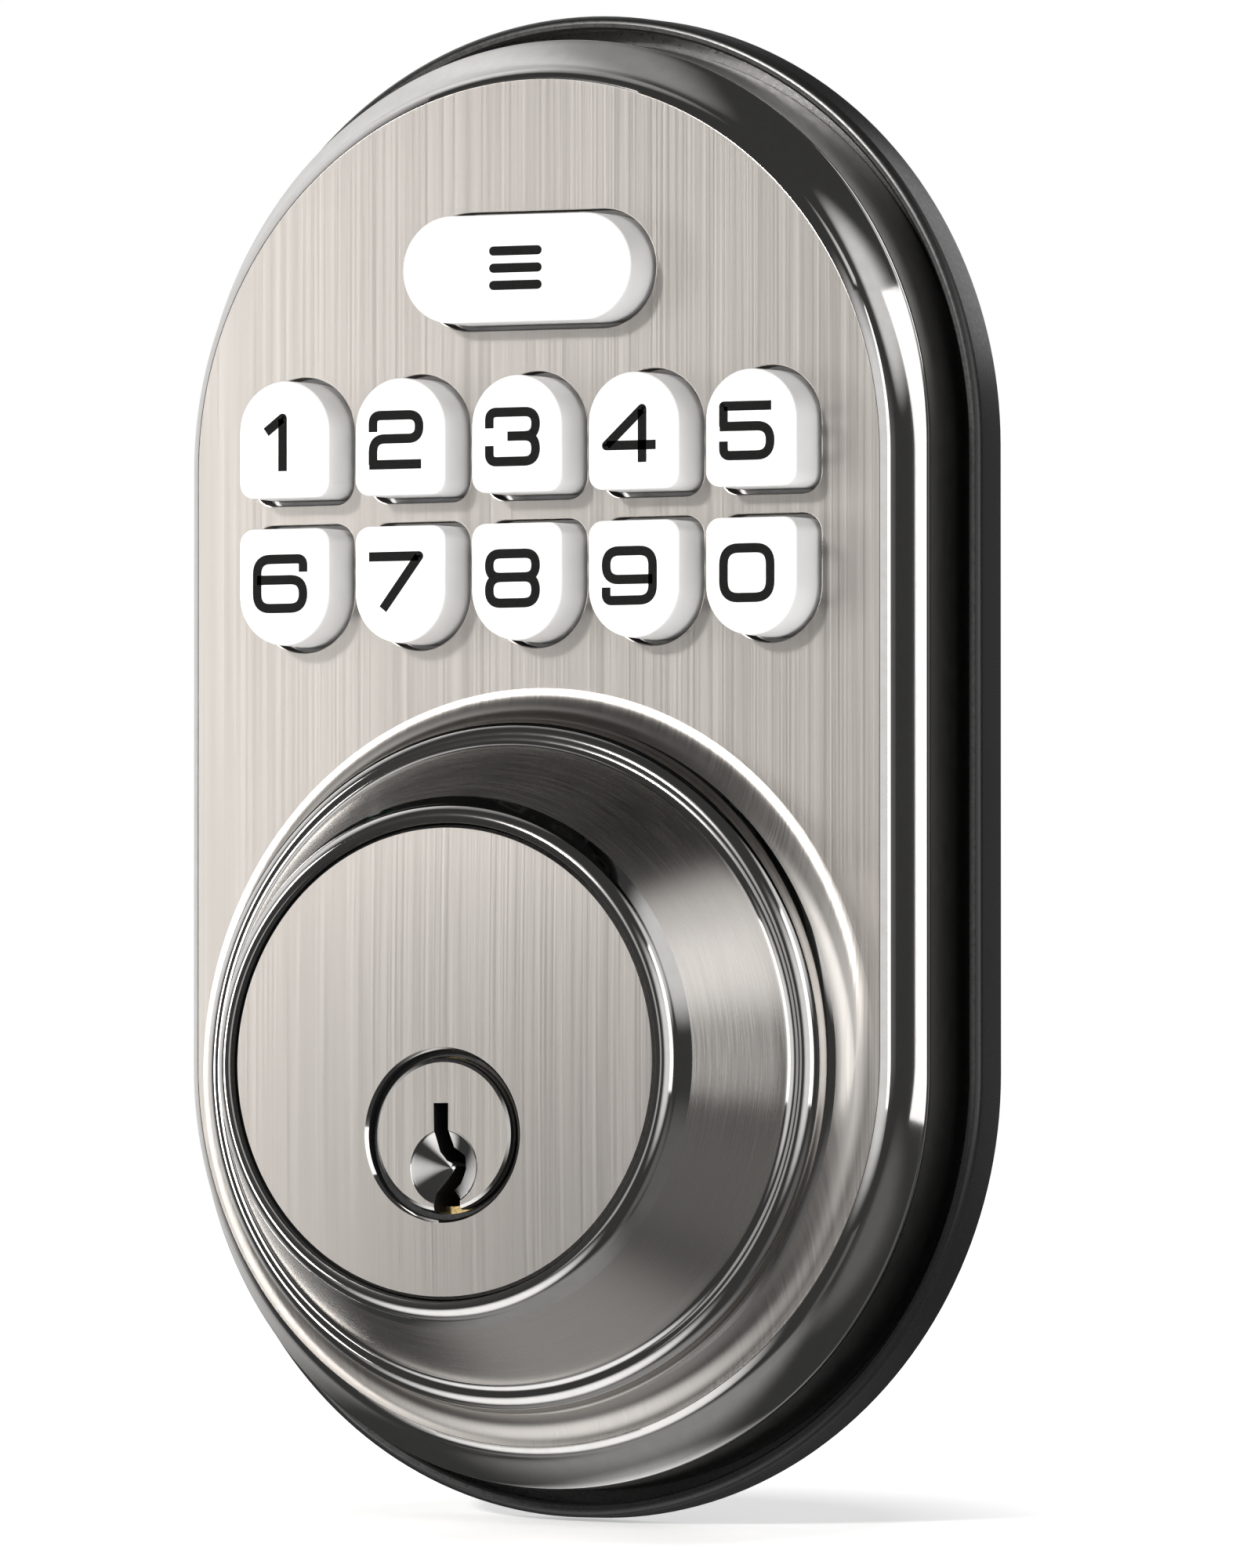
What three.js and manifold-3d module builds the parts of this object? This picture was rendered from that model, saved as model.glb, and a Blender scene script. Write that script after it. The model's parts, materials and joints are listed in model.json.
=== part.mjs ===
// Exterior half of a keypad deadbolt lock, in millimetres.
// +Z is up, the keypad faces -Y, +X is to the right, and the door's surface is the plane y = 0.
// The origin is on the door plane, midway between the two half-circle centres of the obround housing.
import * as THREE from 'three';
import { mergeVertices } from 'three/addons/utils/BufferGeometryUtils.js';
import Module from 'manifold-3d';

const wasm = await Module();
wasm.setup();

// ---- Clearances ----
const SEAT_GAP = 0.2; // between pieces that rest on each other
const SCREW_GAP = 0.2; // round a screw, post or spring in its hole
const KEY_GAP = 0.35; // round a key in its opening
const TURNING_GAP = 0.1; // round the plug in its bore
const PIN_GAP = 0.15; // round a pin in its chamber
const CUT_PAST = 1; // how far a cutter runs past the faces it opens

// ---- Housing: nested obrounds, each a half-circle radius and half the straight between them ----
const FACE_MARGIN = 6.65; // from the outer keys to the face's edge
const STACK_SPARE = 1.2; // between the parts on the circuit board and the mounting plate
const FACE_WALL = 2.2;
const RING_WIDTH = 2.3; // polished ring, from the face's edge to its lip
const RING_LIFT = 1.3; // how much longer the ring's straight is than the face's
const RING_DEPTH = 4.75; // lip behind the face
const BEVEL_WIDTH = 0.35;
const BEVEL_DEPTH = 0.5;
const SIDE_WALL = 2.4;

// ---- Weather gasket, whose rim shows round the housing ----
const GASKET_SHEET = 1.5;
const RIM_HEIGHT = 4.45;
const RIM_WIDTH = 1.25;
const RIM_GROOVE = 1.25; // between the housing's side and the rim
const RIM_ROUNDING = 0.7;

// ---- Boss that carries the key cylinder ----
const BOSS_DROP = 0.5; // boss centre below the housing's lower half-circle centre
const BOSS_FOOT_INSET = 0.7; // foot of its fillet, inside the face's edge
const RIDGE_RADIUS = 30.8;
const RIDGE_HEIGHT = 6;
const CONE_FOOT_RADIUS = 29.2;
const CONE_TOP_RADIUS = 23.4;
const BOSS_RIM_ROUNDING = 0.9;
const BOSS_WALL_ROOT = 28; // cavity radius at the face
const WEB_THICKNESS = 3;
const DISC_RADIUS = 21.5;
const DISC_THICKNESS = 2.2;
const DISC_EDGE_ROUNDING = 0.3;
const DISC_BORE_GAP = 0.9; // round the plug's face

// ---- Keys ----
const KEY_WIDTH = 9.3;
const KEY_HEIGHT = 10.7;
const KEY_CORNER = 1.4;
const KEY_COLUMNS = 5;
const KEY_SPACING_X = 2.7;
const KEY_SPACING_Z = 2.8;
const KEY_PROUD = 4.2;
const KEY_EDGE = 0.9;
const KEY_TRAVEL = 1.2;
const KEY_FLANGE = 0.8; // lip that keeps a key behind the face, and its thickness
const BUTTON_LENGTH = 23.5;
const BUTTON_HEIGHT = 9.8;
const KEY_ROWS = 2;
const KEYPAD_BELOW_TOP = 4.25; // keypad centre below the housing's upper half-circle centre
const KEYPAD_TO_BOSS = 4.15; // from the lower keys to the foot of the boss
const KEYPAD_TO_BUTTON = 4.85;

// ---- Membrane, circuit board and what is on it ----
const DOME_SPARE = 0.4; // dome height left under a fully pressed key
const DOME_BASE_RADIUS = 3.3;
const DOME_TOP_RADIUS = 2.2;
const MEMBRANE_SHEET = 1;
const MEMBRANE_INSET = 0.4;
const BOARD_THICKNESS = 1.6;
const BOARD_SIDE_INSET = 5.3; // from the face's edge
const BOARD_BELOW_KEYS = 9.15; // lower edge, to clear the boss
const BOARD_TOP_INSET = 9.1; // from the face's edge, to clear the top plate screw
const BOARD_UPPER_CORNER = 24;
const BOARD_LOWER_CORNER = 3;
const UPPER_SCREW_INSET_X = 8; // from the circuit board's edges
const UPPER_SCREW_INSET_Z = 7.5;
const LOWER_SCREW_INSET_X = 4.5;
const LOWER_SCREW_INSET_Z = 4.9;
const CHIP_SIZE = 7;
const CHIP_HEIGHT = 0.9;
const SOUNDER_RADIUS = 4.5;
const SOUNDER_HEIGHT = 1.7;
const SOCKET_WIDTH = 8;
const SOCKET_LENGTH = 4.4;
const SOCKET_HEIGHT = 2;
const SOCKET_WALL = 0.5;

// ---- Mounting plate, screws, posts and grommet ----
const PLATE_THICKNESS = 1.5;
const PLATE_HOLE_GAP = 1.2; // round the plug's retainer
const SCREW_POST_RADIUS = 2.8;
const POST_BITE = 0.8; // how far a post beside the cavity's wall sinks into it
const SIDE_POST_INSET = 4.9; // from the cavity's wall
const SIDE_POST_DROP = 5.8; // below the circuit board
const LOWER_POST_INSET = 1.913; // from the cavity's wall to the lower posts, round the boss centre
const LOWER_POST_ANGLE = 0.7535; // below level, in radians
const SCREW_SHANK_RADIUS = 1.15;
const SCREW_HEAD_RADIUS = 2.1;
const SCREW_HEAD_HEIGHT = 1.2;
const SCREW_GRIP = 3.2; // how far a screw goes into its post
const CYLINDER_SCREW_GRIP = 1.9;
const CYLINDER_SCREW_OFFSET = 13.4;
const MOUNT_POST_OFFSET = 19.5;
const MOUNT_POST_RADIUS = 3.2;
const MOUNT_POST_LENGTH = 14; // past the door plane
const MOUNT_POST_NECK = 2.1;
const MOUNT_POST_THREAD = 1.9;
const MOUNT_POST_THREAD_DEPTH = 12;
const GROMMET_BORE = 3.2;
const GROMMET_WALL = 1;
const GROMMET_FLANGE = 1.3;
const GROMMET_ABOVE_BOSS = 18.6;

// ---- Key cylinder ----
const PLUG_DROP = 6.6; // plug axis below the boss centre
const PLUG_RADIUS = 6.35;
const PLUG_FACE_LAP = 0.65; // how far its face stands past its body
const PLUG_FACE_THICKNESS = 1.9;
const PLUG_FACE_BEVEL = 0.35;
const PLUG_RECESS = 0.2; // plug face behind the disc's front
const TAIL_RADIUS = 4.8;
const TAIL_LENGTH = 3.6;
const SHELL_WALL = 3;
const SHELL_FLANGE_RADIUS = 17;
const SHELL_FLANGE_THICKNESS = 2.5;
const STACK_HALF_WIDTH = 4.6;
const KEYWAY_END_WALL = 1.2; // left solid at the plug's rear end
const DIMPLE_RADIUS = 3.35;
const DIMPLE_DEPTH = 1.4;
const DIMPLE_DROP = 2.95;

// ---- Pin stacks ----
const PIN_PITCH = 3.81;
const FIRST_PIN = 6.3; // behind the shell's front end
const LAST_PIN_WALL = 3.06; // from the last pin to the shell's rear end
const PIN_RADIUS = 1.45;
const KEY_PIN_LENGTHS = [4.4, 5.6, 4, 6, 5];
const KEY_PIN_POINT = 0.7;
const KEY_PIN_DROP = 1.4; // fall when no key holds it up
const CHAMBER_FLOOR_SPARE = 0.2;
const SHEAR_GAP = 0.2; // from the shear line to each pin's end
const DRIVER_PIN_LENGTH = 4;
const SPRING_LENGTH = 5.1;
const SPRING_HEADROOM = 0.95; // below the chamber cap
const SPRING_INSET = 0.5; // from the chamber's wall to the middle of the wire
const SPRING_WIRE = 0.16;
const SPRING_TURNS = 5;
const CHAMBER_CAP_THICKNESS = 1;
const CHAMBER_CAP_HALF_WIDTH = 2.6;

// ---- Plug retainer and tailpiece ----
const RETAINER_LAP = 0.75; // past the bore's edge
const RETAINER_SPARE = 1.1; // in front of the mounting plate
const RETAINER_THICKNESS = 1.4;
const TAILPIECE_WIDTH = 6;
const TAILPIECE_THICKNESS = 2;
const TAILPIECE_REACH = 48; // past the door plane
const TAILPIECE_GRIP = 1.5; // in the plug's slot

// ---- Places and sizes that follow ----
const KEYPAD_WIDTH = KEY_COLUMNS * KEY_WIDTH + (KEY_COLUMNS - 1) * KEY_SPACING_X;
const FACE_RADIUS = KEYPAD_WIDTH / 2 + FACE_MARGIN;
const KEYPAD_HEIGHT = KEY_ROWS * KEY_HEIGHT + (KEY_ROWS - 1) * KEY_SPACING_Z;
const BOSS_FOOT_RADIUS = FACE_RADIUS - BOSS_FOOT_INSET;
const KEYS_BELOW_TOP = KEYPAD_BELOW_TOP + KEYPAD_HEIGHT / 2;
const FACE_HALF_STRAIGHT = (KEYS_BELOW_TOP + KEYPAD_TO_BOSS + BOSS_FOOT_RADIUS - BOSS_DROP) / 2;
const HOUSING_BACK_Y = -GASKET_SHEET - SEAT_GAP;
const PLATE_BACK_Y = HOUSING_BACK_Y - SEAT_GAP;
const PLATE_Y = PLATE_BACK_Y - PLATE_THICKNESS;
const PARTS_Y = PLATE_Y - STACK_SPARE - SOCKET_HEIGHT;
const BOARD_BACK_Y = PARTS_Y - SEAT_GAP;
const BOARD_Y = BOARD_BACK_Y - BOARD_THICKNESS;
const MEMBRANE_Y = BOARD_Y - SEAT_GAP - MEMBRANE_SHEET;
const DOME_TIP_Y = MEMBRANE_Y - DOME_SPARE - KEY_TRAVEL;
const KEY_BACK_Y = DOME_TIP_Y - SEAT_GAP;
const KEY_FLANGE_Y = KEY_BACK_Y - KEY_FLANGE;
const WALL_Y = KEY_FLANGE_Y - SEAT_GAP;
const FACE_Y = WALL_Y - FACE_WALL;
const LIP_Y = FACE_Y + RING_DEPTH;
const HOUSING_RADIUS = FACE_RADIUS + RING_WIDTH;
const HOUSING_HALF_STRAIGHT = FACE_HALF_STRAIGHT + RING_LIFT;
const CAVITY_RADIUS = HOUSING_RADIUS - SIDE_WALL;
const FRONT_CAVITY_RADIUS = FACE_RADIUS - SIDE_WALL;
const RIM_RADIUS = HOUSING_RADIUS + RIM_GROOVE + RIM_WIDTH;
const BOSS_Z = -FACE_HALF_STRAIGHT - BOSS_DROP;
const PIN_COUNT = KEY_PIN_LENGTHS.length;
const SHELL_LENGTH = FIRST_PIN + (PIN_COUNT - 1) * PIN_PITCH + LAST_PIN_WALL;
const SHELL_BACK_Y = PLATE_Y - RETAINER_SPARE - RETAINER_THICKNESS - SEAT_GAP;
const SHELL_FRONT_Y = SHELL_BACK_Y - SHELL_LENGTH;
const DISC_SEAT_Y = SHELL_FRONT_Y;
const BOSS_FRONT_Y = DISC_SEAT_Y - SEAT_GAP - DISC_THICKNESS;
const BOSS_HEIGHT = FACE_Y - BOSS_FRONT_Y;
const WEB_BACK_Y = DISC_SEAT_Y + WEB_THICKNESS;
const PLUG_Z = BOSS_Z - PLUG_DROP;
const KEYPAD_Z = FACE_HALF_STRAIGHT - KEYPAD_BELOW_TOP;
const BUTTON_Z = KEYPAD_Z + (KEYPAD_HEIGHT + BUTTON_HEIGHT) / 2 + KEYPAD_TO_BUTTON;
const SHELL_BORE_RADIUS = PLUG_RADIUS + TURNING_GAP;
const SHELL_RADIUS = SHELL_BORE_RADIUS + SHELL_WALL;
const PLUG_FACE_RADIUS = PLUG_RADIUS + PLUG_FACE_LAP;
const DISC_BORE_RADIUS = PLUG_FACE_RADIUS + DISC_BORE_GAP;
const RETAINER_RADIUS = SHELL_BORE_RADIUS + RETAINER_LAP;
const PLATE_HOLE_RADIUS = RETAINER_RADIUS + PLATE_HOLE_GAP;
const PLUG_TOP_Z = PLUG_Z + PLUG_RADIUS;
const DRIVER_BOTTOM_Z = PLUG_Z + SHELL_BORE_RADIUS + SHEAR_GAP / 2;
const DRIVER_TOP_Z = DRIVER_BOTTOM_Z + DRIVER_PIN_LENGTH;
const CAP_SEAT_Z = DRIVER_TOP_Z + SEAT_GAP + SPRING_LENGTH + SPRING_HEADROOM;
const STACK_TOP_Z = CAP_SEAT_Z + CHAMBER_CAP_THICKNESS;
const SHELL_FLANGE_Y = WEB_BACK_Y + SEAT_GAP;
const PLUG_FACE_Y = BOSS_FRONT_Y + PLUG_RECESS;
const TAIL_BACK_Y = SHELL_BACK_Y + TAIL_LENGTH;
const CHAMBER_RADIUS = PIN_RADIUS + PIN_GAP;
const SPRING_RADIUS = CHAMBER_RADIUS - SPRING_INSET;
const GROMMET_Z = BOSS_Z + GROMMET_ABOVE_BOSS;
const BOARD_HALF_WIDTH = FACE_RADIUS - BOARD_SIDE_INSET;
const BOARD_ABOVE_TOP = FACE_RADIUS - BOARD_TOP_INSET;
const BOARD_BELOW_TOP = KEYS_BELOW_TOP + BOARD_BELOW_KEYS;
const BOARD_TOP_Z = FACE_HALF_STRAIGHT + BOARD_ABOVE_TOP;
const BOARD_LOW_Z = FACE_HALF_STRAIGHT - BOARD_BELOW_TOP;
const BOARD_SCREWS = [
  ...onBothSides(BOARD_HALF_WIDTH - UPPER_SCREW_INSET_X, BOARD_TOP_Z - UPPER_SCREW_INSET_Z),
  ...onBothSides(BOARD_HALF_WIDTH - LOWER_SCREW_INSET_X, BOARD_LOW_Z + LOWER_SCREW_INSET_Z),
];
const LOWER_POST_REACH = FRONT_CAVITY_RADIUS - LOWER_POST_INSET;
const LOWER_POST_X = LOWER_POST_REACH * Math.cos(LOWER_POST_ANGLE);
const LOWER_POST_Z = BOSS_Z - LOWER_POST_REACH * Math.sin(LOWER_POST_ANGLE);
const PLATE_SCREWS = [
  [0, FACE_HALF_STRAIGHT + FRONT_CAVITY_RADIUS + POST_BITE - SCREW_POST_RADIUS],
  ...onBothSides(FRONT_CAVITY_RADIUS - SIDE_POST_INSET, BOARD_LOW_Z - SIDE_POST_DROP),
  ...onBothSides(LOWER_POST_X, LOWER_POST_Z),
];

// ---- Materials ----
const finishes = {
  nickel: { color: 0xb3aca3, roughness: 0.3, metalness: 1 },
  steel: { color: 0x9da0a3, roughness: 0.35, metalness: 1 },
  brass: { color: 0xb7924e, roughness: 0.35, metalness: 1 },
  whitePlastic: { color: 0xf2f1ef, roughness: 0.45, metalness: 0 },
  rubber: { color: 0x161616, roughness: 0.6, metalness: 0 },
  silicone: { color: 0x2e2e30, roughness: 0.7, metalness: 0 },
  board: { color: 0x1f5a36, roughness: 0.5, metalness: 0 },
  blackPlastic: { color: 0x1d1d1f, roughness: 0.5, metalness: 0 },
};

function onBothSides(x, z) {
  return [[-x, z], [x, z]];
}

// ---- Outlines: counter-clockwise (x, z) points as seen from the front ----
const FINE = 16; // steps in a half circle of the housing
const SMALL = 8; // steps in a half circle of a key

function arc(x, z, radius, from, to, steps) {
  const points = [];
  for (let i = 0; i <= steps; i += 1) {
    const angle = from + ((to - from) * i) / steps;
    points.push(new THREE.Vector2(x + radius * Math.cos(angle), z + radius * Math.sin(angle)));
  }
  return points;
}

function obround(radius, halfStraight, steps = FINE) {
  const top = arc(0, halfStraight, radius, 0, Math.PI, steps);
  const bottom = arc(0, -halfStraight, radius, Math.PI, 2 * Math.PI, steps);
  return [...top, ...bottom];
}

// An arched key: a half circle on top, rounded corners below. flip turns it upside down.
function keyOutline(x, z, offset, flip) {
  const half = KEY_WIDTH / 2 + offset;
  const corner = KEY_CORNER + offset;
  const top = KEY_HEIGHT / 2 + offset;
  const points = [
    ...arc(0, top - half, half, 0, Math.PI, SMALL),
    ...arc(corner - half, corner - top, corner, Math.PI, 1.5 * Math.PI, SMALL / 4),
    ...arc(half - corner, corner - top, corner, 1.5 * Math.PI, 2 * Math.PI, SMALL / 4),
  ];
  const turn = flip ? -1 : 1;
  return points.map((p) => new THREE.Vector2(x + turn * p.x, z + turn * p.y));
}

function buttonOutline(x, z, offset) {
  const radius = BUTTON_HEIGHT / 2 + offset;
  const reach = (BUTTON_LENGTH - BUTTON_HEIGHT) / 2;
  return [
    ...arc(x + reach, z, radius, -Math.PI / 2, Math.PI / 2, SMALL),
    ...arc(x - reach, z, radius, Math.PI / 2, 1.5 * Math.PI, SMALL),
  ];
}

function boardOutline(inset) {
  const half = BOARD_HALF_WIDTH - inset;
  const upper = BOARD_UPPER_CORNER;
  const lower = BOARD_LOWER_CORNER;
  const top = BOARD_TOP_Z - inset;
  const bottom = BOARD_LOW_Z + inset;
  return [
    ...arc(half - upper, top - upper, upper, 0, Math.PI / 2, SMALL),
    ...arc(upper - half, top - upper, upper, Math.PI / 2, Math.PI, SMALL),
    ...arc(lower - half, bottom + lower, lower, Math.PI, 1.5 * Math.PI, SMALL / 4),
    ...arc(half - lower, bottom + lower, lower, 1.5 * Math.PI, 2 * Math.PI, SMALL / 4),
  ];
}

function rectangle(x0, z0, x1, z1) {
  return [[x0, z0], [x1, z0], [x1, z1], [x0, z1]].map(([x, z]) => new THREE.Vector2(x, z));
}

// ---- Solids ----
function weld(geometry) {
  const bare = geometry.index ? geometry.toNonIndexed() : geometry;
  bare.deleteAttribute('normal');
  bare.deleteAttribute('uv');
  const merged = mergeVertices(bare, 1e-4);
  const corners = merged.index.array;
  const kept = [];
  for (let i = 0; i < corners.length; i += 3) {
    const [a, b, c] = [corners[i], corners[i + 1], corners[i + 2]];
    if (a !== b && b !== c && c !== a) kept.push(a, b, c);
  }
  merged.setIndex(kept);
  return merged;
}

function toSolid(geometry) {
  const welded = weld(geometry);
  const mesh = new wasm.Mesh({
    numProp: 3,
    vertProperties: new Float32Array(welded.attributes.position.array),
    triVerts: new Uint32Array(welded.index.array),
  });
  return new wasm.Manifold(mesh);
}

function toGeometry(solid) {
  const mesh = solid.getMesh();
  const geometry = new THREE.BufferGeometry();
  geometry.setAttribute('position', new THREE.BufferAttribute(mesh.vertProperties.slice(), 3));
  geometry.setIndex(new THREE.BufferAttribute(mesh.triVerts.slice(), 1));
  return geometry;
}

// Outlines of equal count joined from front to back, with both ends capped.
function loft(rings) {
  const count = rings[0].outline.length;
  const positions = rings.flatMap(({ outline, y }) => outline.flatMap((p) => [p.x, y, p.y]));
  const index = [];
  for (let ring = 0; ring + 1 < rings.length; ring += 1) {
    for (let i = 0; i < count; i += 1) {
      const next = (i + 1) % count;
      const [a, b] = [ring * count + i, ring * count + next];
      index.push(a, a + count, b, b, a + count, b + count);
    }
  }
  const last = (rings.length - 1) * count;
  for (const [a, b, c] of THREE.ShapeUtils.triangulateShape(rings[0].outline, [])) index.push(a, b, c);
  for (const [a, b, c] of THREE.ShapeUtils.triangulateShape(rings.at(-1).outline, [])) {
    index.push(last + a, last + c, last + b);
  }
  const geometry = new THREE.BufferGeometry();
  geometry.setAttribute('position', new THREE.Float32BufferAttribute(positions, 3));
  geometry.setIndex(index);
  return geometry;
}

function plate(outline, frontY, backY) {
  return loft([{ outline, y: frontY }, { outline, y: backY }]);
}

// A turned piece on an axis along Y. The profile is a list of [radius, y].
function turned(profile, x, z, steps) {
  const points = profile.map(([radius, y]) => new THREE.Vector2(radius, y));
  return new THREE.LatheGeometry(points, steps).translate(x, 0, z);
}

function rod(radius, frontY, backY, x, z, steps = 16) {
  return turned([[0, frontY], [radius, frontY], [radius, backY], [0, backY]], x, z, steps);
}

// A rod along Z, for pins and their chambers.
function uprightRod(radius, bottom, top, x, y, steps = 12) {
  const points = [[0, bottom], [radius, bottom], [radius, top], [0, top]];
  const lathe = new THREE.LatheGeometry(points.map((p) => new THREE.Vector2(...p)), steps);
  return lathe.rotateX(Math.PI / 2).translate(x, y, 0);
}

function join(geometries) {
  return geometries.map(toSolid).reduce((a, b) => a.add(b));
}

function cut(solid, geometries) {
  return geometries.map(toSolid).reduce((a, b) => a.subtract(b), solid);
}

// ---- Assembly ----
const lock = new THREE.Group();

function addPiece(name, finish, geometry) {
  const mesh = new THREE.Mesh(geometry, new THREE.MeshStandardMaterial(finishes[finish]));
  mesh.name = name;
  lock.add(mesh);
}

// Every key: its name, its place and its outline grown by an offset.
function keyList() {
  const keys = [{
    name: 'function_button',
    x: 0,
    z: BUTTON_Z,
    domes: [-BUTTON_LENGTH / 4, BUTTON_LENGTH / 4],
    outline: (offset) => buttonOutline(0, BUTTON_Z, offset),
  }];
  const digits = [[1, 2, 3, 4, 5], [6, 7, 8, 9, 0]];
  digits.forEach((row, rowIndex) => row.forEach((digit, column) => {
    const x = (column - (KEY_COLUMNS - 1) / 2) * (KEY_WIDTH + KEY_SPACING_X);
    const z = KEYPAD_Z + ((KEY_ROWS - 1) / 2 - rowIndex) * (KEY_HEIGHT + KEY_SPACING_Z);
    keys.push({
      name: `key_${digit}`,
      x,
      z,
      domes: [0],
      outline: (offset) => keyOutline(x, z, offset, rowIndex === 1),
    });
  }));
  return keys;
}
const keys = keyList();

function housingShell() {
  const side = (radiusIn, straightIn, y) => ({
    outline: obround(HOUSING_RADIUS - radiusIn, HOUSING_HALF_STRAIGHT - straightIn),
    y,
  });
  return loft([
    side(RING_WIDTH, RING_LIFT, FACE_Y),
    side(RING_WIDTH - BEVEL_WIDTH, RING_LIFT, FACE_Y + BEVEL_DEPTH),
    side(RING_WIDTH * 0.78, RING_LIFT * 0.8, FACE_Y + RING_DEPTH * 0.3),
    side(RING_WIDTH * 0.5, RING_LIFT * 0.5, FACE_Y + RING_DEPTH * 0.68),
    side(0, 0, LIP_Y),
    side(0, 0, HOUSING_BACK_Y),
  ]);
}

function housingCavity() {
  const ring = (radius, y) => ({ outline: obround(radius, FACE_HALF_STRAIGHT), y });
  return loft([
    ring(FRONT_CAVITY_RADIUS, WALL_Y),
    ring(FRONT_CAVITY_RADIUS, LIP_Y),
    ring(CAVITY_RADIUS, LIP_Y + RING_WIDTH),
    ring(CAVITY_RADIUS, HOUSING_BACK_Y + CUT_PAST),
  ]);
}

// The boss outside: a concave fillet up to a rounded ridge, then a cone with a rounded rim.
function bossBody() {
  const sweep = BOSS_FOOT_RADIUS - RIDGE_RADIUS;
  const root = FACE_Y + FACE_WALL / 2;
  const profile = [[0, root], [BOSS_FOOT_RADIUS, root], [BOSS_FOOT_RADIUS, FACE_Y]];
  for (let i = 1; i <= 5; i += 1) {
    const angle = (i / 5) * (Math.PI / 2);
    const rise = RIDGE_HEIGHT * 0.85 * (1 - Math.cos(angle));
    profile.push([BOSS_FOOT_RADIUS - sweep * Math.sin(angle), FACE_Y - rise]);
  }
  const round = BOSS_RIM_ROUNDING;
  profile.push(
    [RIDGE_RADIUS - (RIDGE_RADIUS - CONE_FOOT_RADIUS) / 2, FACE_Y - RIDGE_HEIGHT],
    [CONE_FOOT_RADIUS, FACE_Y - RIDGE_HEIGHT],
    [CONE_TOP_RADIUS, BOSS_FRONT_Y + round],
    [CONE_TOP_RADIUS - round * 0.4, BOSS_FRONT_Y + round * 0.2],
    [CONE_TOP_RADIUS - round, BOSS_FRONT_Y],
    [0, BOSS_FRONT_Y],
  );
  return turned(profile.reverse(), 0, BOSS_Z, 2 * FINE);
}

function bossCavity() {
  const slope = (BOSS_WALL_ROOT - DISC_RADIUS) / (BOSS_HEIGHT + FACE_WALL);
  const frontRadius = BOSS_WALL_ROOT - slope * (WALL_Y - WEB_BACK_Y);
  const profile = [
    [0, WEB_BACK_Y],
    [frontRadius, WEB_BACK_Y],
    [BOSS_WALL_ROOT, WALL_Y],
    [BOSS_WALL_ROOT, WALL_Y + CUT_PAST],
    [0, WALL_Y + CUT_PAST],
  ];
  return turned(profile, 0, BOSS_Z, 2 * FINE);
}

function frontHousing() {
  let solid = toSolid(housingShell()).add(toSolid(bossBody()));
  solid = cut(solid, [housingCavity(), bossCavity()]);
  const postRoot = WALL_Y - SEAT_GAP;
  const boardPosts = BOARD_SCREWS.map(([x, z]) => (
    rod(SCREW_POST_RADIUS, postRoot, BOARD_Y - SEAT_GAP, x, z)
  ));
  const platePosts = PLATE_SCREWS.map(([x, z]) => (
    rod(SCREW_POST_RADIUS, postRoot, PLATE_Y - SEAT_GAP, x, z)
  ));
  solid = [...boardPosts, ...platePosts].map(toSolid).reduce((a, b) => a.add(b), solid);
  const hole = SCREW_SHANK_RADIUS + SCREW_GAP;
  const boardHoles = BOARD_SCREWS.map(([x, z]) => (
    rod(hole, BOARD_Y - SEAT_GAP - SCREW_GRIP - SCREW_GAP, BOARD_Y, x, z, 12)
  ));
  const plateHoles = PLATE_SCREWS.map(([x, z]) => (
    rod(hole, PLATE_Y - SEAT_GAP - SCREW_GRIP - SCREW_GAP, PLATE_Y, x, z, 12)
  ));
  const webHoles = [-1, 1].map((side) => rod(
    hole,
    WEB_BACK_Y - CYLINDER_SCREW_GRIP - SCREW_GAP,
    WEB_BACK_Y + CUT_PAST,
    side * CYLINDER_SCREW_OFFSET,
    BOSS_Z,
    12,
  ));
  const discRecess = rod(DISC_RADIUS + SEAT_GAP, BOSS_FRONT_Y - CUT_PAST, DISC_SEAT_Y, 0, BOSS_Z, 2 * FINE);
  const noseHole = rod(
    SHELL_RADIUS + SCREW_GAP,
    DISC_SEAT_Y - CUT_PAST,
    WEB_BACK_Y + CUT_PAST,
    0,
    PLUG_Z,
    32,
  );
  const openings = keys.map((key) => plate(key.outline(KEY_GAP), FACE_Y - CUT_PAST, WALL_Y + CUT_PAST));
  return cut(solid, [...boardHoles, ...plateHoles, ...webHoles, discRecess, noseHole, ...openings]);
}

function weatherGasket() {
  const straight = HOUSING_HALF_STRAIGHT;
  const ring = (radius, y) => ({ outline: obround(radius, straight), y });
  const body = loft([
    ring(RIM_RADIUS - RIM_ROUNDING, -RIM_HEIGHT),
    ring(RIM_RADIUS - RIM_ROUNDING * 0.3, -RIM_HEIGHT + RIM_ROUNDING * 0.3),
    ring(RIM_RADIUS, -RIM_HEIGHT + RIM_ROUNDING),
    ring(RIM_RADIUS, 0),
  ]);
  const recess = plate(obround(RIM_RADIUS - RIM_WIDTH, straight), -RIM_HEIGHT - CUT_PAST, -GASKET_SHEET);
  const through = (radius, x, z) => rod(radius, -RIM_HEIGHT - CUT_PAST, CUT_PAST, x, z, 24);
  return cut(toSolid(body), [
    recess,
    through(PLATE_HOLE_RADIUS, 0, PLUG_Z),
    through(MOUNT_POST_RADIUS + SCREW_GAP, -MOUNT_POST_OFFSET, BOSS_Z),
    through(MOUNT_POST_RADIUS + SCREW_GAP, MOUNT_POST_OFFSET, BOSS_Z),
    through(GROMMET_BORE + GROMMET_WALL + SCREW_GAP, 0, GROMMET_Z),
  ]);
}

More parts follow.
